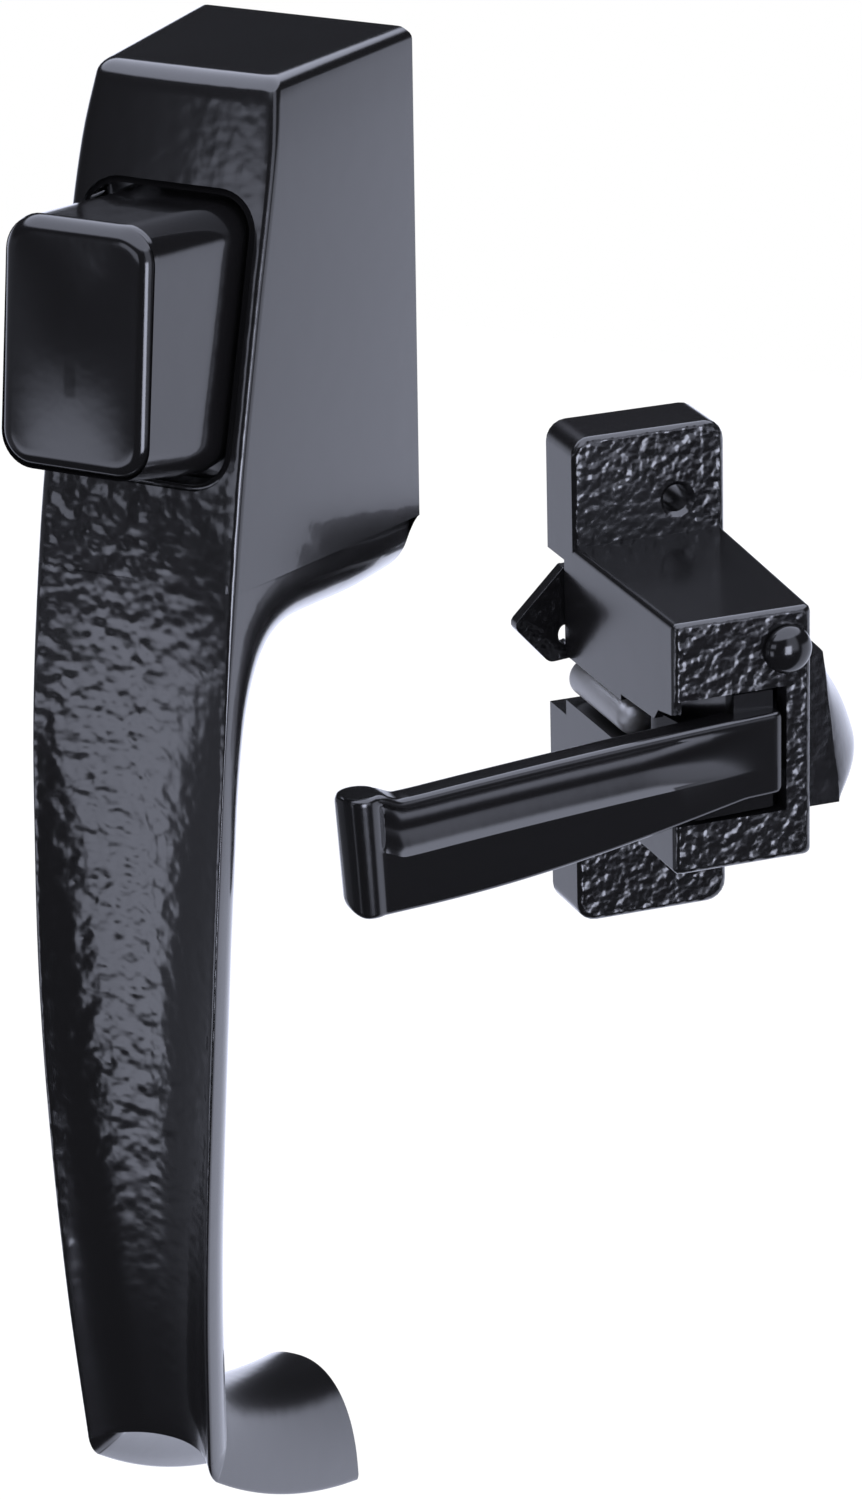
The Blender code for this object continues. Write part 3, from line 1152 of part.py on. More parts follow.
def new_frame(name, place, turn=0.0, parent=None):
    frame = bpy.data.objects.new(name, None)
    bpy.context.collection.objects.link(frame)
    frame.location = Vector(place) * MM
    frame.rotation_euler = (0, 0, math.radians(turn))
    frame.parent = parent
    return frame


def main():
    for piece in list(bpy.data.objects):
        bpy.data.objects.remove(piece, do_unlink=True)
    hammered = new_material("black_hammered_enamel", (0.012, 0.012, 0.014), 0.22, 0.0, 0.6)
    gloss = new_material("black_gloss_enamel", (0.01, 0.01, 0.012), 0.12, 0.0, 0.8)
    steel = new_material("zinc_plated_steel", (0.6, 0.6, 0.58), 0.35, 1.0)
    spring_steel = new_material("spring_steel", (0.35, 0.35, 0.36), 0.3, 1.0)

    handle_frame = new_frame("handle_frame", (0, 0, RIM_MIDDLE))
    build_handle_casting(hammered, handle_frame)
    build_push_button(gloss, handle_frame)
    build_push_rod(steel, handle_frame)
    build_rod_pin(steel, handle_frame)
    build_button_spring(spring_steel, handle_frame)
    build_retainer_plate(steel, handle_frame)
    for name, place in zip(("upper", "lower"), PLATE_SCREWS):
        build_retainer_screw("retainer_screw_" + name, place, steel, handle_frame)

    place = (LATCH_PLACE[0], LATCH_PLACE[1], LATCH_PLACE[2] + RIM_MIDDLE)
    latch_frame = new_frame("latch_frame", place, LATCH_TURN)
    lever_pivot = new_frame("lever_pivot", (HINGE_X, -HINGE_DEPTH, 0), 0, latch_frame)
    lock_pivot = new_frame("lock_pivot", (LOCK_X, 0, LOCK_Z), 0, latch_frame)
    build_latch_case(hammered, latch_frame)
    build_lever(gloss, lever_pivot)
    build_hinge_pin(steel, latch_frame)
    build_hinge_ring(spring_steel, latch_frame)
    build_drive_pin(steel, lever_pivot)
    build_lever_spring(spring_steel, latch_frame)
    build_bolt(hammered, latch_frame)
    build_stop_pin(steel, latch_frame)
    build_lock_lever(hammered, lock_pivot)
    build_lock_shaft(gloss, lock_pivot)
    build_lock_washer(spring_steel, latch_frame)


main()
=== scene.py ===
"""Black push-button screen door latch, both halves as laid out for a photograph."""
import math

import bmesh
import bpy
from mathutils import Matrix, Vector


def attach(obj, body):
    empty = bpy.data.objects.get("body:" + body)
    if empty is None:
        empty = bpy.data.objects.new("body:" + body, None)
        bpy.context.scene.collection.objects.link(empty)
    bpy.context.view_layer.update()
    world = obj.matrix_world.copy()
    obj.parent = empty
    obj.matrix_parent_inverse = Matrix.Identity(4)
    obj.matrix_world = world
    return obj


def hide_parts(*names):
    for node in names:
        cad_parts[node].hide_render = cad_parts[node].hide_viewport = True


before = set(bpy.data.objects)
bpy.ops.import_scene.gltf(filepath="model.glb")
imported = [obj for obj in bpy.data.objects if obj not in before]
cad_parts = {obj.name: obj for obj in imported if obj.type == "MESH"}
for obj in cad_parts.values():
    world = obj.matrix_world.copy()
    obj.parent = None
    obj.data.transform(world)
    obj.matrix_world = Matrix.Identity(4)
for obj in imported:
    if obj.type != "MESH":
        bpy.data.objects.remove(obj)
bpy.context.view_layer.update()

MM = 0.001
GAP = 0.3
OVERCUT = 1.0
INTO_DOOR = (1, 0)

# Sizes in millimetres, those of the solids but for softer edges, fades and crowns
SCREW_SPACING = 44.45
TAPPED_HOLE_RADIUS = 1.45
TAPPED_HOLE_DEPTH = 14.0
BACK_HALF_WIDTH = 12.7
BACK_TOP_SPREAD = 0.5
BOX_WALL = 2.3
BOX_FRONT_WALL = 1.65
BOX_SIDE_FOOT = 55.2
RIM_MIDDLE = 1.2
BOX_TOP_ROUND = 1.4
BOX_BACK_ROUND = 0.5
UPPER_POST_DROP = 7.75
LOWER_POST_DROP = UPPER_POST_DROP + SCREW_SPACING
BOSS_RADIUS = 11.8
POST_RADIUS = 4.2
POST_RECESS = 2.0
POST_DEPTH = 17.5
POST_WEB = 5.0
GRIP_FOOT = -152.2
# The front of the casting by height: its depth, its half width and the depth of its dish
FRONT_PROFILE = [(0, 25.3), (-12, 29.2), (-28, 34.0), (-42, 37.8), (-59, 41.1), (-81, 43.9),
                 (-100, 45.5), (-120, 46.2), (-136, 46.0), (GRIP_FOOT, 44.9)]
HALF_WIDTHS = [(0, 10.8), (-8, 11.8), (-22, 12.0), (-50, 12.2), (-66, 12.0), (-82, 11.6),
               (-98, 11.1), (-112, 10.4), (-130, 9.3), (GRIP_FOOT, 8.0)]
TROUGH_DEPTHS = [(-2, -0.3), (-14, -0.3), (-30, -0.1), (-44, 0.0), (-50, 0.25), (-62, 1.0),
                 (-80, 2.2), (-100, 3.1), (-125, 3.8), (GRIP_FOOT, 4.4)]
RIM_ROUND = 1.1
SIDE_STRIP = 1.7
BACK_FULLNESS = 2.25
TROUGH_FULLNESS = 2.2
# Under the box: height of the front, depth and height of the side, depth and height of the crest
TURN_STATIONS = [(-52.0, 10.0, -54.5, 8.0, -63.6), (-52.0, 20.0, -53.85, 15.0, -62.9),
                 (-52.0, 29.0, -53.3, 20.8, -62.5), (-54.0, 33.7, -53.9, 25.0, -63.3),
                 (-56.5, 36.5, -55.4, 28.0, -65.3), (-59.5, 38.1, -57.6, 30.5, -68.4),
                 (-63.5, 39.5, -61.0, 32.5, -72.4), (-68.5, 40.6, -65.6, 33.9, -77.4),
                 (-74.0, 41.5, -71.2, 34.8, -82.6), (-81.0, 42.2, -78.9, 35.5, -88.4)]
GRIP_STATIONS = 9
GRIP_BACK_BULGE = 7.6
CREST_EASE = 1.5
UNDERSIDE_STEP = 0.5
UNDERSIDE_INSET = 0.35
TURN_RADIUS = 5.0
TAIL_START_SLOPE = 35.0
TAIL_END_SLOPE = 15.0
TAIL_LENGTH = 35.0
TAIL_HALF_WIDTH = 7.6
TAIL_END_RISE = 13.65
TAIL_FULLNESS = 2.4
TAIL_END_WALL = 1.9
TAIL_END_LEAN = -4.7
TAIL_END_STRIP = 1.2
GRIP_BELL = 0.9
TAIL_BELL = 1.25
TURN_SHARE = 0.25
HOLLOW_DROP = 3.2
HOLLOW_SHARES = (-0.05, 0.0, 0.25, 0.5, 0.75, 1.0)
DRILL_TIP_LENGTH = 1.0
DRILL_TIP_RADIUS = 0.3
OPENING_HALF_WIDTH = 10.0
OPENING_TOP = -11.9
OPENING_FOOT = -41.2
OPENING_ROUND = 4.0
OPENING_LIP = 0.7
LIP_OVERLAP = 0.15
OPENING_REACH_IN = 8.0
OPENING_REACH_OUT = 4.0
BUTTON_PLAY = 0.7
BUTTON_FACE_HALF_WIDTH = 8.9
BUTTON_FACE_TOP = (48.2, -10.7)
BUTTON_FACE_FOOT = (51.4, -36.8)
BUTTON_ROUND = 3.8
BUTTON_EDGE_ROUND = 1.8
BUTTON_CROWN = 0.5
BUTTON_BODY_SHARE = 0.94
FLANGE_LIP = 1.3
FLANGE_THICKNESS = 1.8
FLANGE_SEAT = 0.9
FLANGE_SIDE_INSET = 0.6
FLANGE_ROUND = 2.0
LEAST_ROUND = 0.3
PLATE_SCREWS = [(8.0, -17.0), (-8.0, -41.0)]
PLATE_BOSS_RADIUS = 2.7
PLATE_BOSS_LENGTH = 8.0
LATCH_PLACE = (8.63, 38.188, -56.1)
LATCH_TURN = 49.4
TAB_THICKNESS = 8.0
TOP_SCREW_DROP = 8.95
ROD_LEVEL = -TOP_SCREW_DROP - SCREW_SPACING / 2
HINGE_X = 8.0
HINGE_DEPTH = TAB_THICKNESS + 16.75
HINGE_RADIUS = 1.5
HINGE_FIT = 0.05
HUB_RADIUS = 4.7
HUB_CORE_RADIUS = 2.9
HUB_LOBE = (2.2, 4.0)
HUB_LOWER_FRONT = (1.5, 2.6)
HUB_UPPER_FRONT = (3.4, 7.6)
HUB_FRONT_COVER = 1.4
HUB_OVERLAP = 0.1
HUB_CUT_MARGIN = 0.7
NOTCH_DEPTH = 2.5
NOTCH_WIDTH = 2.0
NOTCH_LIP = 0.1
ROOM_FRONT_PLAY = 0.25
REST_PLAY = 0.9
CUT_FAR = 40.0
CHEEK_PLATE = 3.2
DRIVE_PIN_RADIUS = 1.0
DRIVE_PIN_FLOOR = 1.2
CASE_DEPTH = HINGE_DEPTH + 12.3
CASE_LEFT = 0.1
MOUTH_TOP = ROD_LEVEL + 8.875
MOUTH_FOOT = ROD_LEVEL - 6.125
MOUTH_BACK = HINGE_DEPTH - HUB_RADIUS - GAP
HUB_TOP = MOUTH_TOP - 0.45
HUB_FOOT = MOUTH_FOOT + 0.45
HUB_SHOULDER = MOUTH_TOP - 4.1
LEVER_TOP = MOUTH_TOP - 2.7
LEVER_FOOT = MOUTH_FOOT + 2.4
LEVER_END_FOOT = LEVER_FOOT - 4.1
LEVER_RIGHT_END = 13.3
LEVER_FRONT_DEPTH = CASE_DEPTH + 0.6
LEVER_ANGLE = 7.2
LEVER_REACH = 55.4
LEVER_END_ROUND = 1.0
LEVER_EDGE_ROUND = 0.6
LEVER_BACK_ROUND = 1.2
FRONT_MARGIN = 0.02
BACK_MARGIN = 0.05
ARM_THICKNESS = 4.0
CHANNEL_DEPTH = 1.3
CHANNEL_RIM = 0.9
CHANNEL_HEIGHT = 5.8
CHANNEL_FADE = 16.0
CHANNEL_START = 1.5
CHANNEL_SQUARENESS = 0.8
PAD_LENGTH = 5.2
PAD_THICKNESS = 5.6
PAD_PROUD = 0.25
PAD_RISE = 1.0
PAD_RISE_START = 2.0
PAD_RISE_RUN = 3.0
ARM_SAG = 0.8
ARM_SAG_START = 5.0
ARM_SAG_SHORTFALL = 14.0
PAD_LEAN = 0.8
PAD_LEAN_RUN = 14.0
PAD_FOOT_ROUND = 2.0
PAD_TOP_ROUND = 0.7
BOLT_FRONT = CASE_DEPTH - 2.9
BOLT_REST_DEPTH = 12.4
BOLT_BACK = BOLT_FRONT - BOLT_REST_DEPTH
BOLT_HEEL = 3.0
BOLT_TOP = ROD_LEVEL + 11.175
BOLT_FOOT = ROD_LEVEL - 7.425
BOLT_INNER = 17.9
# The beak by share of its height: reach of its front edge and reach of its nose
BOLT_SECTIONS = [(0.0, 1.7, 2.2), (0.16, 2.1, 4.3), (0.32, 2.4, 6.2), (0.48, 2.8, 7.9), (0.645, 3.1, 9.1),
                 (0.78, 3.4, 9.7), (0.887, 3.7, 9.1), (0.962, 3.8, 7.3), (1.0, 3.8, 4.7)]
BEAK_FLATNESS = 0.45
BEAK_POWERS = (0.9, 0.8)
BEAK_HEEL_INSET = 0.6
TONGUE_HALF_WIDTH = 2.0
TONGUE_TOP = ROD_LEVEL + 4.875
TONGUE_FOOT = ROD_LEVEL - 2.325
TONGUE_REST = 2.1
TONGUE_PLAY = 0.35
TONGUE_ROUND = 1.0
SLOT_ROUND = 0.9
SLOT_PLAY = (0.15, 0.2)
DRIVE_X = HINGE_X + 2.5
DRIVE_Y = -(BOLT_FRONT - TONGUE_HALF_WIDTH)
STOP_X = 2.45
STOP_Z = ROD_LEVEL + 1.275
STOP_RADIUS = 2.35
STOP_TIP_DEPTH = MOUTH_BACK + 2.35
STOP_LENGTH = 16.7
STOP_TAIL_ROUND = 0.6
STOP_TIP_RADIUS = 0.05
LOCK_X = 13.7
LOCK_Z = ROD_LEVEL + 13.475
LOCK_SHAFT_RADIUS = 1.4
LOCK_RIVET = [(1.2, 0.3), (0.9, 0.9), (0.0, 0.9)]
LOCK_PLATE_FRONT = 4.55
LOCK_PLATE_THICKNESS = 1.7
HOOK_THROAT_PLACE = (-13.5, -7.1)
HOOK_THROAT_SIZE = (0.85, 1.2)
DOME_RADIUS = 2.85
DOME_HEIGHT = 2.1
DOME_EDGE = 0.15
DOME_RIM = 0.3
DOME_TIP_RADIUS = 0.04

# How finely the visible skins are drawn
DISH_STEPS = 36
BACK_STEPS = 44
CORNER_STEPS = 6
OUTLINE_STEPS = 8
ARC_STEPS = 5
BOX_STEPS = 10
BOX_SPLITS = 3
STATION_SPLITS = 4
TURN_STEPS = 7
TAIL_STEPS = 10
ROUND_STEPS = 48
RING_STEPS = 10
SIDE_STEPS = 12
BUTTON_STEPS = 8
BUTTON_FACE_STEPS = 16
CHANNEL_STEPS = 18
FINE_STEPS = 32
PAD_STEPS = 24
NECK_STATIONS = 15
NECK_STEP = 0.2
MIDDLE_STATIONS = 22
END_STATIONS = 16
END_RUN = 9.5
FIRST_STATION = 0.004
BEAK_HEIGHT_STEPS = 40
BEAK_STEPS = 20
STOP_TIP_STEPS = 12
DOME_RIM_STEPS = 3
DOME_STEPS = 16
DOME_ROUND_STEPS = 64

# Edges and shading
EDGE_SOFTNESS = 0.32
BEVEL_SEGMENTS = 3
BEVEL_ANGLE = 38.0
CREASE_ANGLE = 35.0
CASTING_CREASE = 38.0
LEVER_CREASE = 40.0
BOLT_CREASE = 30.0
FLAT_ANGLE = 1.0
WELD_DISTANCE = 2e-6
SNAP_REACH = 1.05
NORMAL_WEIGHT = 90

# Surface relief. Each fade: where it starts and ends, its level at the end and at the start
PEEL_STRENGTH = 0.06
PEEL_SCALE = 300.0
PEEL_DEPTH = 0.0003
GRIP_SCALE = 500.0
LATCH_SCALE = 780.0
PEBBLE_DEPTH = 0.0002
FLECK_DEPTH = 0.0002
CELL_RATIO = 1.08
CELL_WEIGHT = -0.55
CELL_SMOOTHNESS = 0.9
FACING_RANGE = (0.55, 0.85)
UPPER_RELIEF = (0.000, 0.006, 0.36, 0.06)
RELIEF_TOP = (-0.030, -0.044)
RELIEF_FOOT = (-0.138, -0.108, 1.0, 0.15)
RELIEF_RIGHT = (0.007, 0.000, 1.0, 0.55)

# Enamel and metal
ENAMEL_COLOUR = (0.009, 0.009, 0.011, 1)
ENAMEL_IOR = 1.52
COAT_ROUGHNESS = 0.05
GRAIN_SCALE = 500.0
GRAIN_ROUGHNESS = (-0.06, 0.08)
GRAIN_DARKNESS = 0.82
GRAIN_STRENGTH = 0.15
GRAIN_DEPTH = 0.0001

# Solids that are dressed as they are, in dark steel
SPRING_STEEL_NODES = ("button_spring", "lever_spring", "lock_washer", "hinge_pin_ring")

# Camera: degrees to the right, degrees down, roll, lens in millimetres, place in metres
CAMERA_ANGLES = (28.75, 20.96, 1.35)
CAMERA_LENS = 144
CAMERA_SENSOR = 36
CAMERA_PLACE = (0.31458, -0.5489, 0.15821)

# Light. Each softbox: the side it is seen from, bearings in degrees, softness, heights, fade, strength
STUDIO_TINT = (0.78, 0.82, 1.0, 1.0)
ROOM_LEVEL = 0.03
OVERHEAD_LEVEL = 4.0
OVERHEAD_EDGE = (0.5, 0.62)
EVEN_LEVEL = 0.9
FLOOR_LEVEL = -0.55
FLOOR_HALF = 1.5
FLOOR_LIFT = 0.32
FLOOR_COLOUR = (0.8, 0.8, 0.8, 1)
FLOOR_ROUGHNESS = 0.9
WHITE = (1, 1, 1, 1)
BLACK = (0, 0, 0, 1)
SOFTBOXES = [("back", (-52.0, 81.0), 6.0, (-1.2, 0.0), 0.08, 1.7),
             ("front", (-128.0, -100.0), 6.0, (-1.2, 0.0), 0.08, 0.85),
             ("front", (-112.0, -42.0), 10.0, (-0.5, 0.1), 0.1, 0.28),
             ("front", (50.0, 86.0), 6.0, (-0.2, 0.6), 0.09, 1.8),
             ("front", (44.0, 64.0), 3.0, (-0.33, 0.1), 0.04, 12.0),
             ("front", (-44.0, -6.0), 5.0, (-0.42, -0.16), 0.07, 3.3),
             ("front", (-29.0, 5.0), 2.0, (0.06, 0.3), 0.05, 2.6)]


def blend(a, b, share):
    return a + (b - a) * share


def hermite(start, start_slope, end, end_slope, t):
    """The cubic between two values with those slopes at its ends."""
    return ((2 * t**3 - 3 * t**2 + 1) * start + (t**3 - 2 * t**2 + t) * start_slope
            + (3 * t**2 - 2 * t**3) * end + (t**3 - t**2) * end_slope)


def smooth_value(knots, z):
    """Cubic through the knots, which run downwards, read at the height z."""
    if z >= knots[0][0]:
        return knots[0][1]
    if z <= knots[-1][0]:
        return knots[-1][1]
    index = next(i for i in range(len(knots) - 1) if knots[i + 1][0] <= z)
    z0, v0 = knots[index]
    z1, v1 = knots[index + 1]
    before = knots[max(index - 1, 0)]
    after = knots[min(index + 2, len(knots) - 1)]
    slope0 = (v1 - before[1]) / (z1 - before[0])
    slope1 = (after[1] - v0) / (after[0] - z0)
    step = z1 - z0
    return hermite(v0, step * slope0, v1, step * slope1, (z - z0) / step)


# Mesh helpers

def skin_rings(rings):
    """A bmesh skinned over rings of equally many points, in mm, with its ends capped."""
    bm = bmesh.new()
    loops = [[bm.verts.new(Vector(point) * MM) for point in ring] for ring in rings]
    count = len(loops[0])
    for lower, upper in zip(loops, loops[1:]):
        for i in range(count):
            j = (i + 1) % count
            bm.faces.new((lower[i], lower[j], upper[j], upper[i]))
    bm.faces.new(list(reversed(loops[0])))
    bm.faces.new(loops[-1])
    return bm


def add_object(name, data):
    thing = bpy.data.objects.new(name, data)
    bpy.context.collection.objects.link(thing)
    return thing


def smooth_object(name, bm):
    mesh = bpy.data.meshes.new(name)
    bm.to_mesh(mesh)
    bm.free()
    mesh.shade_smooth()
    return add_object(name, mesh)


def make(name, rings, place):
    bm = skin_rings(rings)
    bmesh.ops.recalc_face_normals(bm, faces=bm.faces)
    bm.transform(place)
    return smooth_object(name, bm)


def apply_modifiers(piece):
    graph = bpy.context.evaluated_depsgraph_get()
    mesh = bpy.data.meshes.new_from_object(piece.evaluated_get(graph))
    piece.modifiers.clear()
    piece.data = mesh
    return mesh


def even_normals(piece):
    """Lets the large faces keep flat shading beside their rounded edges."""
    weights = piece.modifiers.new("flat_shading", "WEIGHTED_NORMAL")
    weights.keep_sharp = True
    weights.weight = NORMAL_WEIGHT
    apply_modifiers(piece)
    return piece


def finish_piece(piece, cuts=(), joins=(), bevel=0.0, smooth_angle=CREASE_ANGLE):
    """Applies unions, cuts and an edge round to the mesh itself and clears the tools away."""
    for operation, tools in (("UNION", joins), ("DIFFERENCE", cuts)):
        for tool in tools:
            modifier = piece.modifiers.new(tool.name, "BOOLEAN")
            modifier.operation = operation
            modifier.solver = "EXACT"
            modifier.object = tool
    if bevel:
        modifier = piece.modifiers.new("edge_round", "BEVEL")
        modifier.width = bevel * MM
        modifier.segments = BEVEL_SEGMENTS
        modifier.limit_method = "ANGLE"
        modifier.angle_limit = math.radians(BEVEL_ANGLE)
        modifier.use_clamp_overlap = True
        modifier.miter_outer = "MITER_ARC"
    mesh = apply_modifiers(piece)
    if not bevel:
        mesh.shade_smooth()
        mesh.set_sharp_from_angle(angle=math.radians(smooth_angle))
    for tool in (*joins, *cuts):
        bpy.data.objects.remove(tool, do_unlink=True)
    return piece


def carve(tool, *keeps):
    """Takes the kept bodies out of a cutting tool."""
    finish_piece(tool, keeps)


def rounded_corner(corner, before, after, radius, steps):
    start = corner + (before - corner).normalized() * radius
    end = corner + (after - corner).normalized() * radius
    shares = [k / steps for k in range(steps + 1)]
    return [start * (1 - s)**2 + corner * 2 * s * (1 - s) + end * s**2 for s in shares]


def rounded_outline(corners, radius, steps=OUTLINE_STEPS):
    """A closed flat outline, each corner rounded by its own or a common radius."""
    points = []
    count = len(corners)
    for i in range(count):
        size = radius[i] if isinstance(radius, (list, tuple)) else radius
        flat = [Vector((*corners[k % count], 0)) for k in (i - 1, i, i + 1)]
        if size <= 0:
            points.append((flat[1].x, flat[1].y))
            continue
        to_before = (flat[0] - flat[1]).normalized()
        to_after = (flat[2] - flat[1]).normalized()
        half = to_before.angle(to_after) / 2
        setback = size / math.tan(half)
        centre = flat[1] + (to_before + to_after).normalized() * size / math.sin(half)
        first = (flat[1] + to_before * setback - centre).normalized()
        last = (flat[1] + to_after * setback - centre).normalized()
        for k in range(steps + 1):
            arm = first.slerp(last, k / steps) * size
            points.append((centre.x + arm.x, centre.y + arm.y))
    return points


def rectangle(left, right, low, high):
    return [(left, low), (right, low), (right, high), (left, high)]


def along_y(outline, *depths):
    return [[(x, -depth, z) for x, z in outline] for depth in depths]


def along_z(outline, *levels):
    return [[(x, y, z) for x, y in outline] for z in levels]


def circle(centre_x, centre_y, radius, count=ROUND_STEPS):
    return [(centre_x + radius * math.cos(2 * math.pi * k / count),
             centre_y + radius * math.sin(2 * math.pi * k / count)) for k in range(count)]


def turned_along_y(centre_x, centre_z, profile, count=ROUND_STEPS):
    """Rings round a line along the depth, from a profile of depths and radii."""
    return [[(x, -depth, z) for x, z in circle(centre_x, centre_z, radius, count)]
            for depth, radius in profile]


def quarter(steps=CORNER_STEPS):
    """Angles from 0 to a right angle."""
    return [math.pi / 2 * k / steps for k in range(steps + 1)]


HANDLE = Matrix.Translation(Vector((0, 0, RIM_MIDDLE)) * MM)
LATCH = (Matrix.Translation(Vector((LATCH_PLACE[0], LATCH_PLACE[1], LATCH_PLACE[2] + RIM_MIDDLE)) * MM)
         @ Matrix.Rotation(math.radians(LATCH_TURN), 4, "Z"))


# Handle casting

def profile_depth(z):
    return smooth_value(FRONT_PROFILE, z)


def half_width(z):
    return smooth_value(HALF_WIDTHS, z)


def back_half_width(z):
    return BACK_HALF_WIDTH + BACK_TOP_SPREAD * (1 + z / BOX_SIDE_FOOT)


def key_section(front_z, side, crest, side_half):
    """A section with its front on the profile at the height front_z, and (y, z) of side and crest."""
    return (-profile_depth(front_z), front_z, *side, *crest,
            half_width(front_z), side_half, smooth_value(TROUGH_DEPTHS, front_z),
            *INTO_DOOR, BACK_FULLNESS, GRIP_BELL)


def casting_stations():
    """Key sections of the casting as tuples that can be blended, from its top to its tail."""
    box = []
    front_foot = TURN_STATIONS[0][0]
    for k in range(BOX_STEPS + 1):
        share = k / BOX_STEPS
        back_z = blend(-BOX_TOP_ROUND, -BOX_SIDE_FOOT, share)
        box.append(key_section(blend(-BOX_TOP_ROUND, front_foot, share), (0, back_z), (0, back_z),
                               back_half_width(back_z)))
    drop = LOWER_POST_DROP - BOX_SIDE_FOOT
    boss_side = math.sqrt(BOSS_RADIUS**2 - drop**2)
    under = [key_section(front_foot, (0, -BOX_SIDE_FOOT - UNDERSIDE_STEP),
                         (0, -LOWER_POST_DROP - BOSS_RADIUS), boss_side)]
    for front_z, side_depth, side_z, crest_depth, crest_z in TURN_STATIONS:
        share = min(side_depth / profile_depth(front_z), 1.0)
        side_half = blend(BACK_HALF_WIDTH - UNDERSIDE_INSET, half_width(front_z), share)
        under.append(key_section(front_z, (-side_depth, side_z), (-crest_depth, crest_z), side_half))
    last_front, _, last_side_z, last_crest, last_crest_z = TURN_STATIONS[-1]
    for k in range(1, GRIP_STATIONS + 1):
        share = k / GRIP_STATIONS
        front_z = blend(last_front, GRIP_FOOT, share)
        side_z = front_z + (last_side_z - last_front) * (1 - share)
        crest_z = front_z + (last_crest_z - last_front) * (1 - share) ** CREST_EASE
        bulge = blend(profile_depth(last_front) - last_crest - SIDE_STRIP, GRIP_BACK_BULGE, share)
        side_depth = profile_depth(front_z) - SIDE_STRIP
        under.append(key_section(front_z, (-side_depth, side_z), (-(side_depth - bulge), crest_z),
                                 half_width(front_z)))
    return box, under + tail_stations()


def tail_stations():
    """Sections round the grip's foot, a share TURN_SHARE of the way, and on along the tail."""
    stations = []
    start_depth = FRONT_PROFILE[-1][1]
    turned = 90.0 - TAIL_START_SLOPE
    centre = Vector((0, -(start_depth - TURN_RADIUS), GRIP_FOOT))
    sweep = TAIL_LENGTH / math.radians(TAIL_START_SLOPE - TAIL_END_SLOPE)
    for k in range(1, TURN_STEPS + 1):
        angle = math.radians(turned * k / TURN_STEPS)
        outward = Vector((0, -math.cos(angle), -math.sin(angle)))
        stations.append(strap_station(centre + outward * TURN_RADIUS, outward,
                                      TURN_SHARE * k / TURN_STEPS))
    end = math.radians(turned)
    start = centre + Vector((0, -math.cos(end), -math.sin(end))) * TURN_RADIUS
    slope0 = math.radians(TAIL_START_SLOPE)
    for k in range(1, TAIL_STEPS + 1):
        share = k / TAIL_STEPS
        slope1 = math.radians(blend(TAIL_START_SLOPE, TAIL_END_SLOPE, share))
        forward = Vector((0, sweep * (math.sin(slope0) - math.sin(slope1)),
                          sweep * (math.cos(slope0) - math.cos(slope1))))
        outward = Vector((0, -math.sin(slope1), -math.cos(slope1)))
        stations.append(strap_station(start + forward, outward, TURN_SHARE + (1 - TURN_SHARE) * share))
    return stations


def strap_station(rim, outward, share):
    """A section of the turn or the tail at a share of the way from the grip to the tail's end."""
    half = blend(HALF_WIDTHS[-1][1], TAIL_HALF_WIDTH, math.sin(share * math.pi / 2))
    strip = blend(SIDE_STRIP, TAIL_END_STRIP, share)
    trough = blend(TROUGH_DEPTHS[-1][1], TAIL_END_RISE - TAIL_END_WALL + strip, share)
    bulge = blend(GRIP_BACK_BULGE, TAIL_END_RISE, share)
    side = rim - outward * strip
    along = Vector((0, -outward.z, outward.y))
    lean = along * TAIL_END_LEAN * max(share - TURN_SHARE, 0) / (1 - TURN_SHARE)
    crest = side - outward * bulge + lean
    inward = (crest - side).normalized()
    return (rim.y, rim.z, side.y, side.z, crest.y, crest.z, half, half, trough, inward.y, inward.z,
            blend(BACK_FULLNESS, TAIL_FULLNESS, share),
            blend(GRIP_BELL, TAIL_BELL, min(share / TURN_SHARE, 1.0)))


def refine(stations, splits):
    """Smooth in-between sections, on a cubic through the key sections."""
    fine = []
    for i in range(len(stations) - 1):
        before = stations[max(i - 1, 0)]
        after = stations[min(i + 2, len(stations) - 1)]
        for k in range(splits):
            fine.append(tuple(hermite(p1, (p2 - p0) / 2, p2, (p3 - p1) / 2, k / splits)
                              for p0, p1, p2, p3 in zip(before, stations[i], stations[i + 1], after)))
    fine.append(stations[-1])
    return fine


def casting_ring(station):
    """One ring of the casting: dished front between two rims, sides, rounded back."""
    (front_y, front_z, side_y, side_z, crest_y, crest_z, front_half, side_half, trough,
     inward_y, inward_z, fullness, bell) = station
    inward = Vector((0, inward_y, inward_z))
    front_middle = Vector((0, front_y, front_z))
    side_middle = Vector((0, side_y, side_z))
    crest_arm = Vector((0, crest_y, crest_z)) - side_middle
    corner_right = front_middle + Vector((front_half, 0, 0))
    corner_left = front_middle - Vector((front_half, 0, 0))
    side_right = side_middle + Vector((side_half, 0, 0))
    side_left = side_middle - Vector((side_half, 0, 0))
    reach = (front_half - RIM_ROUND) / front_half
    dish = []
    for k in range(DISH_STEPS + 1):
        u = reach * (2 * k / DISH_STEPS - 1)
        depth = trough * (1 - abs(u) ** TROUGH_FULLNESS) ** bell
        dish.append(front_middle + Vector((front_half * u, 0, 0)) + inward * depth)
    ring = rounded_corner(corner_left, side_left, dish[0], RIM_ROUND, CORNER_STEPS)[:-1] + dish
    ring += rounded_corner(corner_right, dish[-1], side_right, RIM_ROUND, CORNER_STEPS)[1:]
    for k in range(BACK_STEPS + 1):
        turn = math.pi * k / BACK_STEPS
        across = math.copysign(abs(math.cos(turn)) ** (2 / fullness), math.cos(turn))
        rise = math.sin(turn) ** (2 / fullness)
        ring.append(side_middle + Vector((side_half * across, 0, 0)) + crest_arm * rise)
    return ring


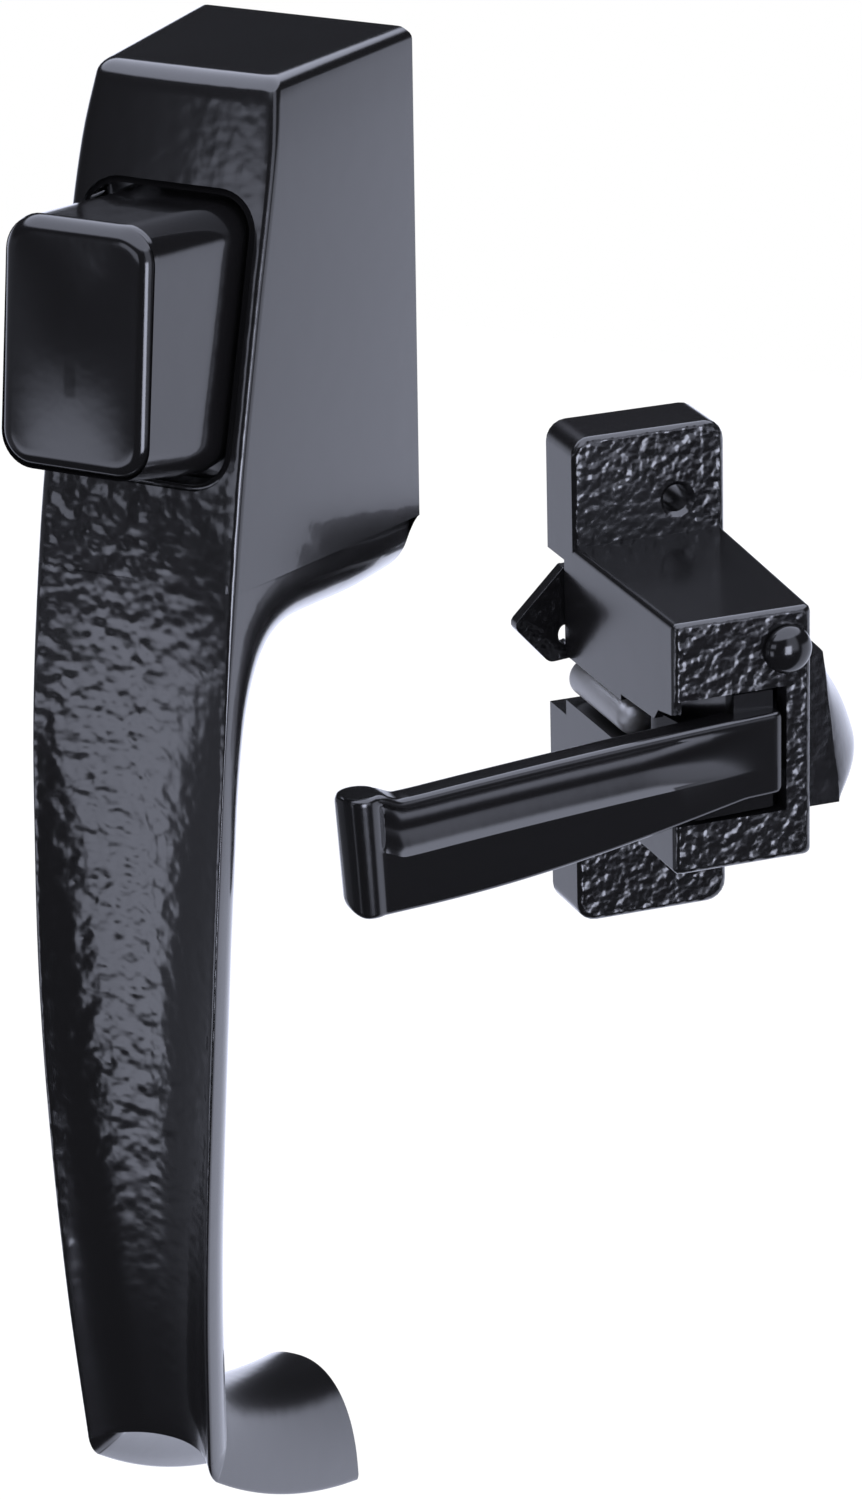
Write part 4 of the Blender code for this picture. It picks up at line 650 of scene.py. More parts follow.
def top_rings():
    """The rounded edge round the top of the box, from the flat top downwards."""
    rings = []
    for k in range(CORNER_STEPS):
        t = math.pi / 2 * (1 - k / CORNER_STEPS)
        z = -BOX_TOP_ROUND * (1 - math.sin(t))
        inset = BOX_TOP_ROUND * (1 - math.cos(t))
        depth = profile_depth(z) - inset
        back = -min(inset, BOX_BACK_ROUND)
        rings.append(casting_ring((-depth, z, back, z, back, z, half_width(z) - inset,
                                   back_half_width(z) - inset, TROUGH_DEPTHS[0][1] * k / CORNER_STEPS,
                                   *INTO_DOOR, BACK_FULLNESS, GRIP_BELL)))
    return rings


def leaning_ring(depth_top, z_top, depth_foot, z_foot, half, radius, inset=0.0):
    """A rounded rectangle leaning between its top edge and its foot edge."""
    height = math.hypot(depth_foot - depth_top, z_top - z_foot)
    corners = rounded_outline(rectangle(-half + inset, half - inset, inset, height - inset),
                              max(radius - inset, LEAST_ROUND), RING_STEPS)
    outline = []
    for k, (x, v) in enumerate(corners):
        outline.append((x, v))
        if k % (RING_STEPS + 1) == RING_STEPS:
            far_x, far_v = corners[(k + 1) % len(corners)]
            shares = [s / SIDE_STEPS for s in range(1, SIDE_STEPS)]
            outline += [(blend(x, far_x, share), blend(v, far_v, share)) for share in shares]
    return [(x, -blend(depth_foot, depth_top, v / height), blend(z_foot, z_top, v / height))
            for x, v in outline]


def build_casting():
    box, under = casting_stations()
    rings = top_rings() + [casting_ring(s) for s in refine(box, BOX_SPLITS)]
    rings += [casting_ring(s) for s in refine(under, STATION_SPLITS)]
    casting = make("handle_casting_skin", rings, HANDLE)
    top_depth = profile_depth(OPENING_TOP)
    foot_depth = profile_depth(OPENING_FOOT)

    def opening_ring(back, grow):
        return leaning_ring(top_depth - back, OPENING_TOP, foot_depth - back, OPENING_FOOT,
                            OPENING_HALF_WIDTH, OPENING_ROUND, -grow)

    lip = [opening_ring(OPENING_LIP * math.cos(t) - LIP_OVERLAP, OPENING_LIP * (1 - math.sin(t)))
           for t in reversed(quarter())]
    opening = make("cut_opening", [opening_ring(OPENING_REACH_IN, 0.0), *lip,
                                   opening_ring(-OPENING_REACH_OUT, OPENING_LIP)], HANDLE)
    hollow = make("cut_hollow", hollow_rings(), HANDLE)
    post = [(POST_RECESS, POST_RADIUS), (POST_DEPTH, POST_RADIUS)]
    web = rectangle(-POST_WEB / 2, POST_WEB / 2, -UPPER_POST_DROP, OVERCUT)
    boss = [(POST_RECESS, PLATE_BOSS_RADIUS), (POST_RECESS + PLATE_BOSS_LENGTH, PLATE_BOSS_RADIUS)]
    keeps = [make("keep_post", turned_along_y(0, -UPPER_POST_DROP, post), HANDLE),
             make("keep_web", along_y(web, POST_RECESS, POST_DEPTH), HANDLE)]
    keeps += [make("keep_boss", turned_along_y(x, z, boss), HANDLE) for x, z in PLATE_SCREWS]
    carve(hollow, *keeps)
    drill = [(-OVERCUT, TAPPED_HOLE_RADIUS), (TAPPED_HOLE_DEPTH, TAPPED_HOLE_RADIUS),
             (TAPPED_HOLE_DEPTH + DRILL_TIP_LENGTH, DRILL_TIP_RADIUS)]
    holes = [make("cut_hole", turned_along_y(0, -drop, drill), HANDLE)
             for drop in (UPPER_POST_DROP, LOWER_POST_DROP)]
    return finish_piece(casting, [hollow, opening, *holes], smooth_angle=CASTING_CREASE)


def hollow_rings():
    """The hollow of the box, open to the door."""
    foot = OPENING_FOOT - HOLLOW_DROP
    rings = []
    for share in HOLLOW_SHARES:
        ring = []
        for u, v in rectangle(-1.0, 1.0, 0.0, 1.0):
            z = blend(foot, -BOX_WALL, v)
            front = profile_depth(z) - BOX_WALL
            half = blend(BACK_HALF_WIDTH - BOX_WALL, half_width(z) - BOX_FRONT_WALL,
                         max(share, 0.0))
            ring.append((u * half, -front * share, z))
        rings.append(ring)
    return rings


def build_button():
    slope_top = profile_depth(OPENING_TOP)
    slope_foot = profile_depth(OPENING_FOOT)
    seat = BOX_WALL + FLANGE_SEAT
    body_top = OPENING_TOP - BUTTON_PLAY - GAP
    body_foot = OPENING_FOOT + BUTTON_PLAY + GAP
    body_half = OPENING_HALF_WIDTH - BUTTON_PLAY
    top_depth, top_z = BUTTON_FACE_TOP
    foot_depth, foot_z = BUTTON_FACE_FOOT

    def face_ring(back, inset):
        return leaning_ring(top_depth - back, top_z, foot_depth - back, foot_z,
                            BUTTON_FACE_HALF_WIDTH, BUTTON_ROUND, inset)

    rings = [leaning_ring(slope_top - seat - back, OPENING_TOP + FLANGE_LIP, slope_foot - seat - back,
                          OPENING_FOOT - FLANGE_LIP, OPENING_HALF_WIDTH - FLANGE_SIDE_INSET,
                          FLANGE_ROUND) for back in (FLANGE_THICKNESS, 0.0)]
    rings.append(leaning_ring(slope_top - seat, body_top, slope_foot - seat, body_foot, body_half,
                              BUTTON_ROUND))
    for k in range(BUTTON_STEPS + 1):
        share = BUTTON_BODY_SHARE * k / BUTTON_STEPS
        rings.append(leaning_ring(blend(slope_top, top_depth, share), blend(body_top, top_z, share),
                                  blend(slope_foot, foot_depth, share), blend(body_foot, foot_z, share),
                                  blend(body_half, BUTTON_FACE_HALF_WIDTH, share), BUTTON_ROUND))
    for t in quarter(BUTTON_STEPS):
        rings.append(face_ring(BUTTON_EDGE_ROUND * (1 - math.sin(t)),
                               BUTTON_EDGE_ROUND * (1 - math.cos(t))))
    flat_half = BUTTON_FACE_HALF_WIDTH - BUTTON_EDGE_ROUND
    for k in range(1, BUTTON_FACE_STEPS):
        ring = []
        for x, y, z in face_ring(0.0, BUTTON_EDGE_ROUND + flat_half * k / BUTTON_FACE_STEPS):
            u = x / flat_half
            v = (2 * z - top_z - foot_z) / (top_z - foot_z - 2 * BUTTON_EDGE_ROUND)
            lift = max(1 - u * u, 0.0) * max(1 - v * v, 0.0)
            ring.append((x, y - BUTTON_CROWN * lift, z))
        rings.append(ring)
    return finish_piece(make("push_button_skin", rings, HANDLE))


# Inside half

def smooth_step(value):
    share = min(max(value, 0.0), 1.0)
    return share * share * (3 - 2 * share)


def quarter_inset(reach, radius):
    """How far a rounded end of that radius draws in at the distance reach from its tip."""
    share = min(reach / radius, 1.0)
    return radius * (1 - math.sqrt(1 - (1 - share) ** 2))


def lever_front(x):
    return LEVER_FRONT_DEPTH + (LEVER_RIGHT_END - x) * math.tan(math.radians(LEVER_ANGLE))


def corner_arc(depth, z, depth_turn, z_turn, radius, from_front):
    """A rounded edge of the arm's section; the turns say on which side its centre lies."""
    points = []
    for t in quarter(ARC_STEPS):
        a, b = (math.cos(t), math.sin(t)) if from_front else (math.sin(t), math.cos(t))
        points.append((depth + depth_turn * radius * (1 - a), z + z_turn * radius * (1 - b)))
    return points


def lever_section(x):
    """A fine section of the arm at x: channelled front, plain band below it, and the round pad."""
    left = LEVER_RIGHT_END - LEVER_REACH
    pad_radius = PAD_LENGTH / 2
    from_left = x - left
    inset = quarter_inset(LEVER_RIGHT_END - x, LEVER_END_ROUND)
    fade = smooth_step((left + PAD_LENGTH + PAD_RISE_START - x) / PAD_RISE_RUN)
    share = (LEVER_RIGHT_END - ARM_SAG_START - x) / (LEVER_REACH - ARM_SAG_SHORTFALL)
    share = min(max(share, 0.0), 1.0)
    top = LEVER_TOP + PAD_RISE * fade - ARM_SAG * share * share - inset
    top -= quarter_inset(from_left, PAD_TOP_ROUND)
    foot = blend(LEVER_FOOT, LEVER_END_FOOT, math.sin(share * math.pi / 2)) + inset
    foot += quarter_inset(from_left, PAD_FOOT_ROUND)
    plane = lever_front(x) - inset
    middle = lever_front(left + pad_radius) - PAD_THICKNESS / 2 + PAD_PROUD
    bulge = 1 - ((from_left - pad_radius) / pad_radius) ** 2
    pad_half = PAD_THICKNESS / 2 * math.sqrt(bulge) if bulge > 0 else 0.0
    in_pad = from_left < pad_radius
    channel = CHANNEL_DEPTH * smooth_step((LEVER_RIGHT_END - CHANNEL_START - x) / CHANNEL_FADE)

    def front_depth(sunk):
        if in_pad:
            return middle + pad_half
        return max(plane - sunk, middle + pad_half) if pad_half else plane - sunk

    back = plane + 2 * inset - ARM_THICKNESS
    if pad_half:
        back = middle - pad_half if in_pad else min(back, middle - pad_half)
    front = front_depth(0.0)
    corner = min(LEVER_EDGE_ROUND, (front - back) / 2 - FRONT_MARGIN)
    points = corner_arc(front, top, -1, -1, corner, False)
    for k in range(CHANNEL_STEPS + 1):
        s = k / CHANNEL_STEPS
        sunk = channel * math.sin(math.pi * s) ** CHANNEL_SQUARENESS
        points.append((front_depth(sunk), top - CHANNEL_RIM - CHANNEL_HEIGHT * s))
    points += corner_arc(front, foot, -1, 1, corner, True)
    corner = max(min((front - back) / 2 - BACK_MARGIN, LEVER_BACK_ROUND), LEAST_ROUND)
    points += corner_arc(back, foot, 1, 1, corner, False)
    points += corner_arc(back, top, 1, -1, corner, True)
    lean = PAD_LEAN * smooth_step(1 - from_left / PAD_LEAN_RUN)
    return [(x + lean * (top - z) / (top - foot), -depth, z) for depth, z in points]


def hub_points(lobe, front_left):
    """The hub from above: half round behind its pin, and widened in front to carry the arm."""
    points = circle(HINGE_X, -HINGE_DEPTH, HUB_RADIUS, 2 * FINE_STEPS)[:FINE_STEPS + 1]
    arm_back = lever_front(front_left) - ARM_THICKNESS
    right = LEVER_RIGHT_END - LEVER_END_ROUND + HUB_OVERLAP
    return points + [(lobe, -HINGE_DEPTH - HUB_LOBE[0]), (lobe + HUB_OVERLAP, -HINGE_DEPTH - HUB_LOBE[1]),
                     (front_left, -arm_back + GAP), (front_left, -arm_back - ARM_THICKNESS / 2),
                     (right, -lever_front(right) + HUB_FRONT_COVER)]


def lever_stations():
    """Where the arm's sections stand: close together at the pad, beside it and at the hub's end."""
    left = LEVER_RIGHT_END - LEVER_REACH
    reaches = [PAD_LENGTH * (1 - math.cos(math.pi * k / PAD_STEPS)) / 2 for k in range(1, PAD_STEPS + 1)]
    reaches += [PAD_LENGTH + NECK_STEP * k for k in range(1, NECK_STATIONS + 1)]
    stations = [left + FIRST_STATION] + [left + reach for reach in reaches]
    start = stations[-1]
    end = LEVER_RIGHT_END - END_RUN
    stations += [blend(start, end, k / MIDDLE_STATIONS) for k in range(1, MIDDLE_STATIONS + 1)]
    stations += [end + (END_RUN - LEVER_END_ROUND) * k / END_STATIONS for k in range(1, END_STATIONS + 1)]
    return stations + [LEVER_RIGHT_END - LEVER_END_ROUND * (1 - math.sin(t)) for t in quarter()[1:]]


def build_lever():
    arm = make("lever_skin", [lever_section(x) for x in lever_stations()], LATCH)
    hub = along_z(hub_points(*HUB_LOWER_FRONT), HUB_FOOT, HUB_SHOULDER)
    crown = along_z(hub_points(*HUB_UPPER_FRONT), HUB_SHOULDER - OVERCUT, HUB_TOP)
    joins = [make("join_hub", hub, LATCH), make("join_crown", crown, LATCH)]
    room = TONGUE_HALF_WIDTH + TONGUE_PLAY
    rest = DRIVE_X - TONGUE_REST - REST_PLAY
    inner = HINGE_X - HUB_RADIUS - HUB_CUT_MARGIN
    behind = -HINGE_DEPTH + 2 * HUB_RADIUS
    outline = [(rest, DRIVE_Y - room), (CUT_FAR, DRIVE_Y - room - OVERCUT), (CUT_FAR, behind),
               (inner, behind), (inner, -HINGE_DEPTH - NOTCH_DEPTH),
               (inner + NOTCH_WIDTH, -HINGE_DEPTH - HUB_RADIUS + NOTCH_LIP),
               (rest, DRIVE_Y + room + ROOM_FRONT_PLAY)]
    spring_room = make("cut_hub_middle", along_z(outline, HUB_FOOT + CHEEK_PLATE, HUB_TOP - CHEEK_PLATE),
                       LATCH)
    through = (HUB_FOOT - OVERCUT, HUB_TOP + OVERCUT)
    core = circle(HINGE_X, -HINGE_DEPTH, HUB_CORE_RADIUS)
    carve(spring_room, make("keep_core", along_z(core, *through), LATCH))
    bore = circle(HINGE_X, -HINGE_DEPTH, HINGE_RADIUS + HINGE_FIT)
    drive = circle(DRIVE_X, DRIVE_Y, DRIVE_PIN_RADIUS + GAP, FINE_STEPS)
    cuts = [spring_room, make("cut_bore", along_z(bore, *through), LATCH),
            make("cut_drive", along_z(drive, HUB_FOOT + DRIVE_PIN_FLOOR, HUB_TOP + OVERCUT), LATCH)]
    return even_normals(finish_piece(arm, cuts, joins, smooth_angle=LEVER_CREASE))


def section_value(share, column):
    """One of the beak's reaches at a share of its height, on a smooth curve through its sections."""
    knots = [(-row[0], row[column]) for row in BOLT_SECTIONS]
    return smooth_value(knots, -share)


def build_bolt():
    rings = []
    out_power, back_power = BEAK_POWERS
    for step in range(BEAK_HEIGHT_STEPS + 1):
        share = step / BEAK_HEIGHT_STEPS
        z = blend(BOLT_TOP, BOLT_FOOT, share)
        edge = BOLT_INNER + section_value(share, 1)
        reach = BOLT_INNER + section_value(share, 2)
        ring = [(BOLT_INNER, -BOLT_BACK, z), (BOLT_INNER, -BOLT_FRONT, z)]
        for k, turn in enumerate(quarter(BEAK_STEPS)):
            out = blend(math.sin(turn) ** out_power, k / BEAK_STEPS, BEAK_FLATNESS)
            back = blend((1 - math.cos(turn)) ** back_power, k / BEAK_STEPS, BEAK_FLATNESS)
            depth = BOLT_FRONT - (BOLT_REST_DEPTH - BOLT_HEEL) * back
            ring.append((edge + (reach - edge) * out, -depth, z))
        ring.append((reach - BEAK_HEEL_INSET * min(1, (reach - edge)), -BOLT_BACK, z))
        rings.append(ring)
    nose = make("bolt_skin", rings, LATCH)
    tongue = rounded_outline(rectangle(DRIVE_X - TONGUE_REST, BOLT_INNER + TONGUE_HALF_WIDTH,
                                       DRIVE_Y - TONGUE_HALF_WIDTH, DRIVE_Y + TONGUE_HALF_WIDTH),
                             [TONGUE_ROUND, 0, 0, TONGUE_ROUND])
    join = make("join_tongue", along_z(tongue, TONGUE_FOOT, TONGUE_TOP), LATCH)
    play = DRIVE_PIN_RADIUS + GAP
    slot = rounded_outline(rectangle(DRIVE_X - play, DRIVE_X + play, DRIVE_Y - play - SLOT_PLAY[0],
                                     DRIVE_Y + play + SLOT_PLAY[1]), SLOT_ROUND)
    cut = make("cut_slot", along_z(slot, TONGUE_FOOT - OVERCUT, TONGUE_TOP + OVERCUT), LATCH)
    return even_normals(finish_piece(nose, [cut], [join], smooth_angle=BOLT_CREASE))


def build_stop_pin():
    tail = STOP_TIP_DEPTH - STOP_LENGTH
    profile = [(tail + STOP_TAIL_ROUND * (1 - math.cos(t)),
                STOP_RADIUS - STOP_TAIL_ROUND * (1 - math.sin(t))) for t in quarter()]
    profile += [(STOP_TIP_DEPTH - STOP_RADIUS * (1 - math.sin(t)),
                 max(STOP_RADIUS * math.cos(t), STOP_TIP_RADIUS)) for t in quarter(STOP_TIP_STEPS)]
    return finish_piece(make("stop_pin_skin", turned_along_y(STOP_X, STOP_Z, profile), LATCH))


def build_lock_shaft():
    back = LOCK_PLATE_FRONT - LOCK_PLATE_THICKNESS - GAP
    head = CASE_DEPTH + GAP
    profile = [(back - behind, LOCK_SHAFT_RADIUS + proud) for behind, proud in LOCK_RIVET]
    profile += [(back, LOCK_SHAFT_RADIUS), (head, LOCK_SHAFT_RADIUS), (head, DOME_RADIUS - DOME_EDGE)]
    profile += [(head + DOME_RIM * math.sin(t), DOME_RADIUS - DOME_EDGE * math.cos(t))
                for t in quarter(DOME_RIM_STEPS)[1:]]
    profile += [(head + DOME_RIM + (DOME_HEIGHT - DOME_RIM) * math.sin(t),
                 max(DOME_RADIUS * math.cos(t), DOME_TIP_RADIUS)) for t in quarter(DOME_STEPS)[1:]]
    rings = turned_along_y(LOCK_X, LOCK_Z, profile, DOME_ROUND_STEPS)
    return finish_piece(make("lock_shaft_skin", rings, LATCH))


def soft_copy(name, cuts=()):
    """A copy of a solid with its flat faces made whole and its sharp edges softly rounded."""
    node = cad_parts[name]
    bm = bmesh.new()
    bm.from_mesh(node.data)
    bm.transform(node.matrix_world)
    for vert in bm.verts:
        local = LATCH.inverted() @ vert.co
        if 0 < local.x < CASE_LEFT * SNAP_REACH * MM:
            vert.co = LATCH @ Vector((0, local.y, local.z))
    bmesh.ops.remove_doubles(bm, verts=bm.verts, dist=WELD_DISTANCE)
    bmesh.ops.dissolve_limit(bm, angle_limit=math.radians(FLAT_ANGLE), verts=bm.verts, edges=bm.edges)
    return even_normals(finish_piece(smooth_object(name + "_skin", bm), cuts, bevel=EDGE_SOFTNESS))


def build_case():
    return soft_copy("latch_case")


def build_lock_lever():
    """The lock's lever with the throat of its hook opened out."""
    across, up = HOOK_THROAT_PLACE
    wide, tall = HOOK_THROAT_SIZE
    turns = [2 * math.pi * k / FINE_STEPS for k in range(FINE_STEPS)]
    throat = [(LOCK_X + across + wide * math.cos(t), LOCK_Z + up + tall * math.sin(t)) for t in turns]
    cut = make("cut_throat", along_y(throat, 0.0, LOCK_PLATE_FRONT + OVERCUT), LATCH)
    return soft_copy("lock_lever", [cut])


# Materials

def node_maker(tree):
    """A function that adds a node and sets its named inputs and properties."""
    def add(kind, **values):
        node = tree.nodes.new(kind)
        for key, value in values.items():
            if key in node.inputs:
                node.inputs[key].default_value = value
            else:
                setattr(node, key, value)
        return node

    return add


def new_material(name, **values):
    """A material whose main shader has the values, with what its nodes are made and linked by."""
    material = bpy.data.materials.new(name)
    material.use_nodes = True
    tree = material.node_tree
    shader = tree.nodes["Principled BSDF"]
    for key, value in values.items():
        shader.inputs[key.replace("_", " ")].default_value = value
    return material, shader, node_maker(tree), tree.links.new


def span(add, link, value, low, high, top=1.0, foot=0.0):
    """A smooth step of the value, from foot at low to top at high."""
    node = add("ShaderNodeMapRange", interpolation_type="SMOOTHSTEP")
    for key, setting in (("From Min", low), ("From Max", high), ("To Min", foot), ("To Max", top)):
        node.inputs[key].default_value = setting
    link(value, node.inputs["Value"])
    return node.outputs["Result"]


def calculate(add, link, operation, *values):
    """The result of a sum whose values are numbers or the outputs of nodes."""
    node = add("ShaderNodeMath", operation=operation)
    for socket, value in zip(node.inputs, values):
        if isinstance(value, bpy.types.NodeSocket):
            link(value, socket)
        else:
            socket.default_value = value
    return node.outputs["Value"]


def product(add, link, *values):
    result = values[0]
    for value in values[1:]:
        result = calculate(add, link, "MULTIPLY", result, value)
    return result


def mixed(add, link, factor, first, second):
    node = add("ShaderNodeMixShader")
    for socket, value in zip(node.inputs, (factor, first, second)):
        link(value, socket)
    return node.outputs["Shader"]


def enamel(name, roughness, coat, specular=0.5, relief=0.0, scale=0.0, mask=None):
    """Glossy black enamel. relief is the depth of its hammered skin, laid where the mask says."""
    material, shader, add, link = new_material(
        name, Base_Color=ENAMEL_COLOUR, Roughness=roughness, IOR=ENAMEL_IOR,
        Specular_IOR_Level=specular, Coat_Weight=coat, Coat_Roughness=COAT_ROUGHNESS)
    where = add("ShaderNodeTexCoord")
    place = where.outputs["Object"]
    peel = add("ShaderNodeTexNoise", Scale=PEEL_SCALE, Detail=2.0)
    link(place, peel.inputs["Vector"])
    peel_bump = add("ShaderNodeBump", Strength=PEEL_STRENGTH, Distance=PEEL_DEPTH)
    link(peel.outputs["Fac"], peel_bump.inputs["Height"])
    normal = peel_bump.outputs["Normal"]
    if relief:
        lumps = add("ShaderNodeTexNoise", Scale=scale, Detail=1.0)
        link(place, lumps.inputs["Vector"])
        cells = add("ShaderNodeTexVoronoi", feature="SMOOTH_F1", Scale=scale * CELL_RATIO,
                    Smoothness=CELL_SMOOTHNESS)
        link(place, cells.inputs["Vector"])
        bump = add("ShaderNodeBump", Distance=relief)
        link(calculate(add, link, "MULTIPLY_ADD", cells.outputs["Distance"], CELL_WEIGHT,
                       lumps.outputs["Fac"]), bump.inputs["Height"])
        link(normal, bump.inputs["Normal"])
        link(mask(add, link, where), bump.inputs["Strength"])
        normal = bump.outputs["Normal"]
    link(normal, shader.inputs["Normal"])
    link(normal, shader.inputs["Coat Normal"])
    return material


def facing(add, link, where, direction):
    """1 where the surface faces the direction, fading to 0 where it turns away."""
    lean = add("ShaderNodeVectorMath", operation="DOT_PRODUCT")
    lean.inputs[1].default_value = direction
    link(where.outputs["Normal"], lean.inputs[0])
    return span(add, link, lean.outputs["Value"], *FACING_RANGE)


def grip_mask(add, link, where):
    """The hammered skin of the grip, softer at its right side and low down, faint above the button."""
    split = add("ShaderNodeSeparateXYZ")
    link(where.outputs["Object"], split.inputs["Vector"])
    x = split.outputs["X"]
    z = split.outputs["Z"]
    fade = add("ShaderNodeMix", data_type="FLOAT")
    link(span(add, link, z, *RELIEF_TOP), fade.inputs["Factor"])
    link(span(add, link, x, *UPPER_RELIEF), fade.inputs["A"])
    fade.inputs["B"].default_value = 1.0
    return product(add, link, facing(add, link, where, (0, -1, 0)), fade.outputs["Result"],
                   span(add, link, z, *RELIEF_FOOT), span(add, link, x, *RELIEF_RIGHT))


def latch_mask(add, link, where):
    """The hammered skin of the inside half, on what faces its front."""
    turn = math.radians(LATCH_TURN)
    return facing(add, link, where, (math.sin(turn), -math.cos(turn), 0.0))


def metal(name, colour, roughness):
    """Plated metal with a fine grain in its tone, its gloss and its surface."""
    material, shader, add, link = new_material(name, Metallic=1.0)
    where = add("ShaderNodeTexCoord")
    grain = add("ShaderNodeTexNoise", Scale=GRAIN_SCALE, Detail=4.0)
    link(where.outputs["Object"], grain.inputs["Vector"])
    gloss = add("ShaderNodeMapRange")
    gloss.inputs["To Min"].default_value = roughness + GRAIN_ROUGHNESS[0]
    gloss.inputs["To Max"].default_value = roughness + GRAIN_ROUGHNESS[1]
    link(grain.outputs["Fac"], gloss.inputs["Value"])
    link(gloss.outputs["Result"], shader.inputs["Roughness"])
    ramp = add("ShaderNodeValToRGB")
    ramp.color_ramp.elements[0].color = (*[c * GRAIN_DARKNESS for c in colour], 1)
    ramp.color_ramp.elements[1].color = (*colour, 1)
    link(grain.outputs["Fac"], ramp.inputs["Fac"])
    link(ramp.outputs["Color"], shader.inputs["Base Color"])
    bump = add("ShaderNodeBump", Strength=GRAIN_STRENGTH, Distance=GRAIN_DEPTH)
    link(grain.outputs["Fac"], bump.inputs["Height"])
    link(bump.outputs["Normal"], shader.inputs["Normal"])
    return material


def dress(piece, material):
    piece.data.materials.clear()
    piece.data.materials.append(material)


# Camera, floor and light

def build_camera():
    turn, pitch, roll = (math.radians(angle) for angle in CAMERA_ANGLES)
    back = Vector((math.sin(turn) * math.cos(pitch), -math.cos(turn) * math.cos(pitch), math.sin(pitch)))
    right = Vector((math.cos(turn), math.sin(turn), 0))
    up = back.cross(right)
    rolled_right = math.cos(roll) * right - math.sin(roll) * up
    rolled_up = math.sin(roll) * right + math.cos(roll) * up
    data = bpy.data.cameras.new("camera")
    data.sensor_fit = "VERTICAL"
    data.sensor_height = CAMERA_SENSOR
    data.lens = CAMERA_LENS
    camera = add_object("camera", data)
    place = Matrix((rolled_right, rolled_up, back)).transposed().to_4x4()
    place.translation = Vector(CAMERA_PLACE)
    camera.matrix_world = place
    bpy.context.scene.camera = camera


def build_world():
    """White to the camera, even to matt surfaces, and a softbox studio to reflections."""
    world = bpy.data.worlds.new("studio")
    bpy.context.scene.world = world
    world.use_nodes = True
    world.node_tree.nodes.clear()
    add = node_maker(world.node_tree)
    link = world.node_tree.links.new
    where = add("ShaderNodeTexCoord")
    split = add("ShaderNodeSeparateXYZ")
    link(where.outputs["Generated"], split.inputs["Vector"])
    x, y, z = split.outputs

    def bearing(ahead):
        """The angle from the axis ahead towards +X, in degrees."""
        return calculate(add, link, "MULTIPLY", calculate(add, link, "ARCTAN2", x, ahead), 180 / math.pi)

    def window(value, low, high, soft):
        return product(add, link, span(add, link, value, low - soft, low + soft),
                       span(add, link, value, high + soft, high - soft))

    bearings = {"front": bearing(calculate(add, link, "MULTIPLY", y, -1.0)), "back": bearing(y)}
    level = ROOM_LEVEL
    for side, limits, soft, heights, fade, strength in SOFTBOXES:
        box = product(add, link, window(bearings[side], *limits, soft), window(z, *heights, fade))
        level = calculate(add, link, "MULTIPLY_ADD", box, strength, level)
    level = calculate(add, link, "ADD", level, span(add, link, z, *OVERHEAD_EDGE, OVERHEAD_LEVEL))
    studio = add("ShaderNodeBackground", Color=STUDIO_TINT)
    link(level, studio.inputs["Strength"])
    white = add("ShaderNodeBackground", Color=WHITE, Strength=1.0)
    even = add("ShaderNodeBackground", Color=WHITE, Strength=EVEN_LEVEL)
    path = add("ShaderNodeLightPath")
    shiny = calculate(add, link, "MAXIMUM", path.outputs["Is Glossy Ray"],
                      path.outputs["Is Transmission Ray"])
    lit = mixed(add, link, shiny, even.outputs["Background"], studio.outputs["Background"])
    seen = mixed(add, link, path.outputs["Is Camera Ray"], lit, white.outputs["Background"])
    link(seen, add("ShaderNodeOutputWorld").inputs["Surface"])


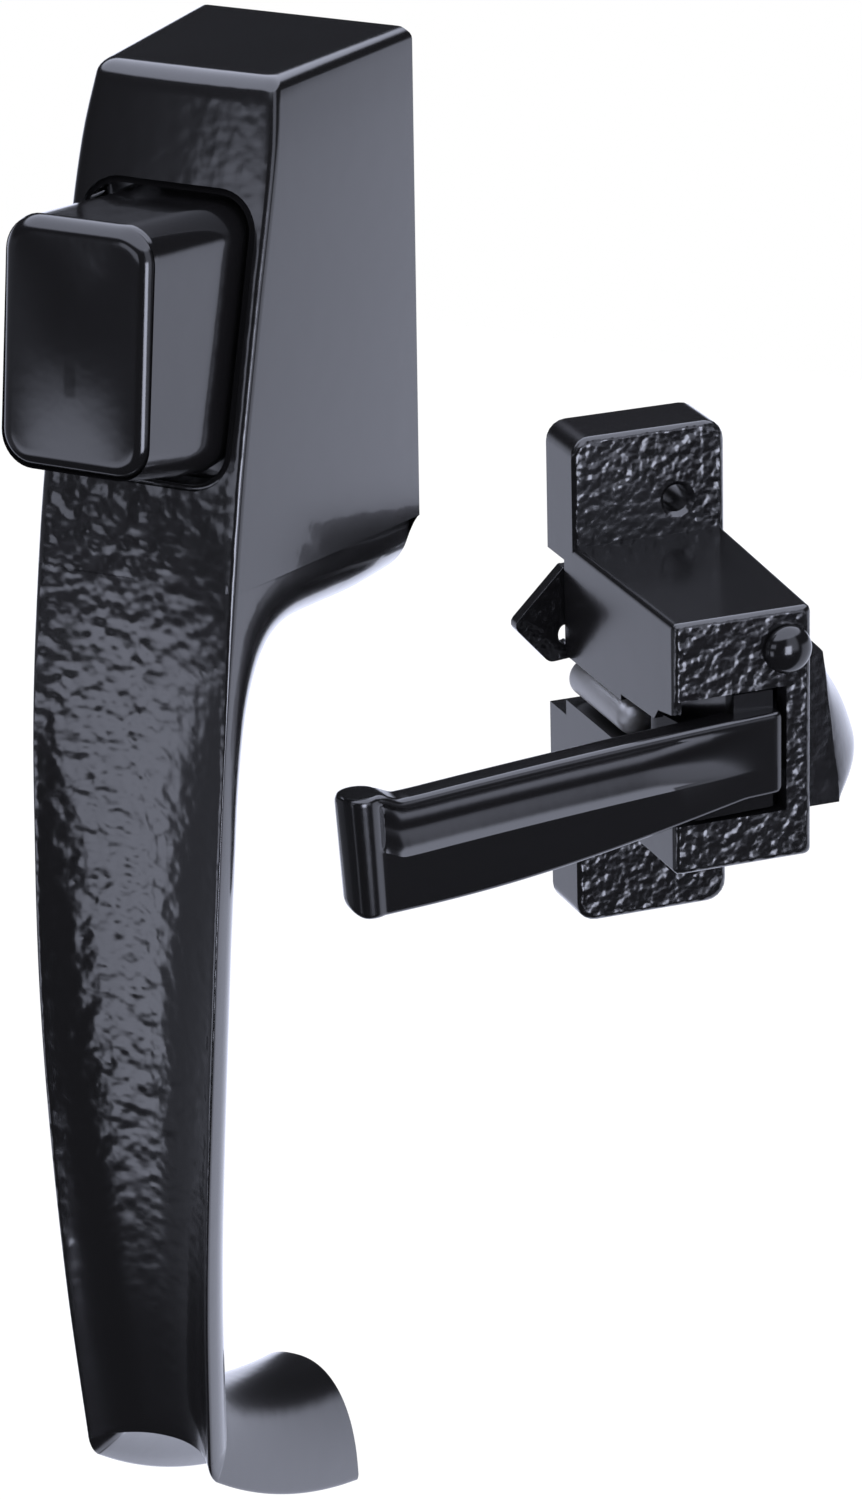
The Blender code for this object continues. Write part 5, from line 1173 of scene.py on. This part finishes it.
def build_floor():
    """Pale floor some way below the latch, lifted to white for the camera so that its shadow shows."""
    mesh = bpy.data.meshes.new("floor")
    square = rectangle(-FLOOR_HALF, FLOOR_HALF, -FLOOR_HALF, FLOOR_HALF)
    mesh.from_pydata([(x, y, FLOOR_LEVEL) for x, y in square], [], [(0, 1, 2, 3)])
    floor = add_object("floor", mesh)
    material, shader, add, link = new_material(
        "floor", Base_Color=FLOOR_COLOUR, Roughness=FLOOR_ROUGHNESS, Specular_IOR_Level=0.0)
    path = add("ShaderNodeLightPath")
    glow = add("ShaderNodeEmission", Color=WHITE, Strength=FLOOR_LIFT)
    none = add("ShaderNodeEmission", Color=BLACK, Strength=0.0)
    lift = mixed(add, link, path.outputs["Is Camera Ray"], none.outputs["Emission"],
                 glow.outputs["Emission"])
    both = add("ShaderNodeAddShader")
    link(shader.outputs["BSDF"], both.inputs[0])
    link(lift, both.inputs[1])
    link(both.outputs["Shader"], material.node_tree.nodes["Material Output"].inputs["Surface"])
    mesh.materials.append(material)
    floor.visible_glossy = False


def place_skin(piece, material, node, body):
    """Dresses a finer skin and puts it in the place of its solid."""
    dress(piece, material)
    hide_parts(node)
    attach(piece, body)


def main():
    grip = enamel("hammered_grip", roughness=0.2, coat=0.45, specular=0.34, relief=PEBBLE_DEPTH,
                  scale=GRIP_SCALE, mask=grip_mask)
    latch = enamel("hammered_latch", roughness=0.2, coat=0.1, relief=FLECK_DEPTH, scale=LATCH_SCALE,
                   mask=latch_mask)
    beak = enamel("beak_enamel", roughness=0.2, coat=0.1, relief=FLECK_DEPTH / 4, scale=LATCH_SCALE,
                  mask=latch_mask)
    gloss = enamel("gloss_enamel", roughness=0.18, coat=0.1)
    button_gloss = enamel("button_enamel", roughness=0.16, coat=0.4, specular=0.2)
    zinc = metal("zinc_plate", (0.62, 0.62, 0.60), roughness=0.32)
    pin = metal("dull_zinc", (0.62, 0.62, 0.63), roughness=0.5)
    dark_steel = metal("spring_steel", (0.30, 0.30, 0.31), roughness=0.3)
    skins = [(build_casting, grip, "handle_casting", "root", "hammered_enamel"),
             (build_button, button_gloss, "push_button", "button", "gloss_enamel"),
             (build_lever, gloss, "lever", "lever", "gloss_enamel"),
             (build_bolt, beak, "bolt", "bolt", "hammered_enamel"),
             (build_stop_pin, pin, "stop_pin", "root", "zinc_steel"),
             (build_lock_shaft, button_gloss, "lock_shaft", "lock", "gloss_enamel"),
             (build_case, latch, "latch_case", "root", "hammered_enamel"),
             (build_lock_lever, latch, "lock_lever", "lock", "hammered_enamel")]
    for build, material, node, body, slot in skins:
        place_skin(build(), material, node, body)
    skinned = [skin[2] for skin in skins]
    for name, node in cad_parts.items():
        if name not in skinned:
            dress(node, dark_steel if name in SPRING_STEEL_NODES else zinc)
    build_camera()
    build_floor()
    build_world()
    bpy.context.scene.view_settings.view_transform = "Standard"


main()
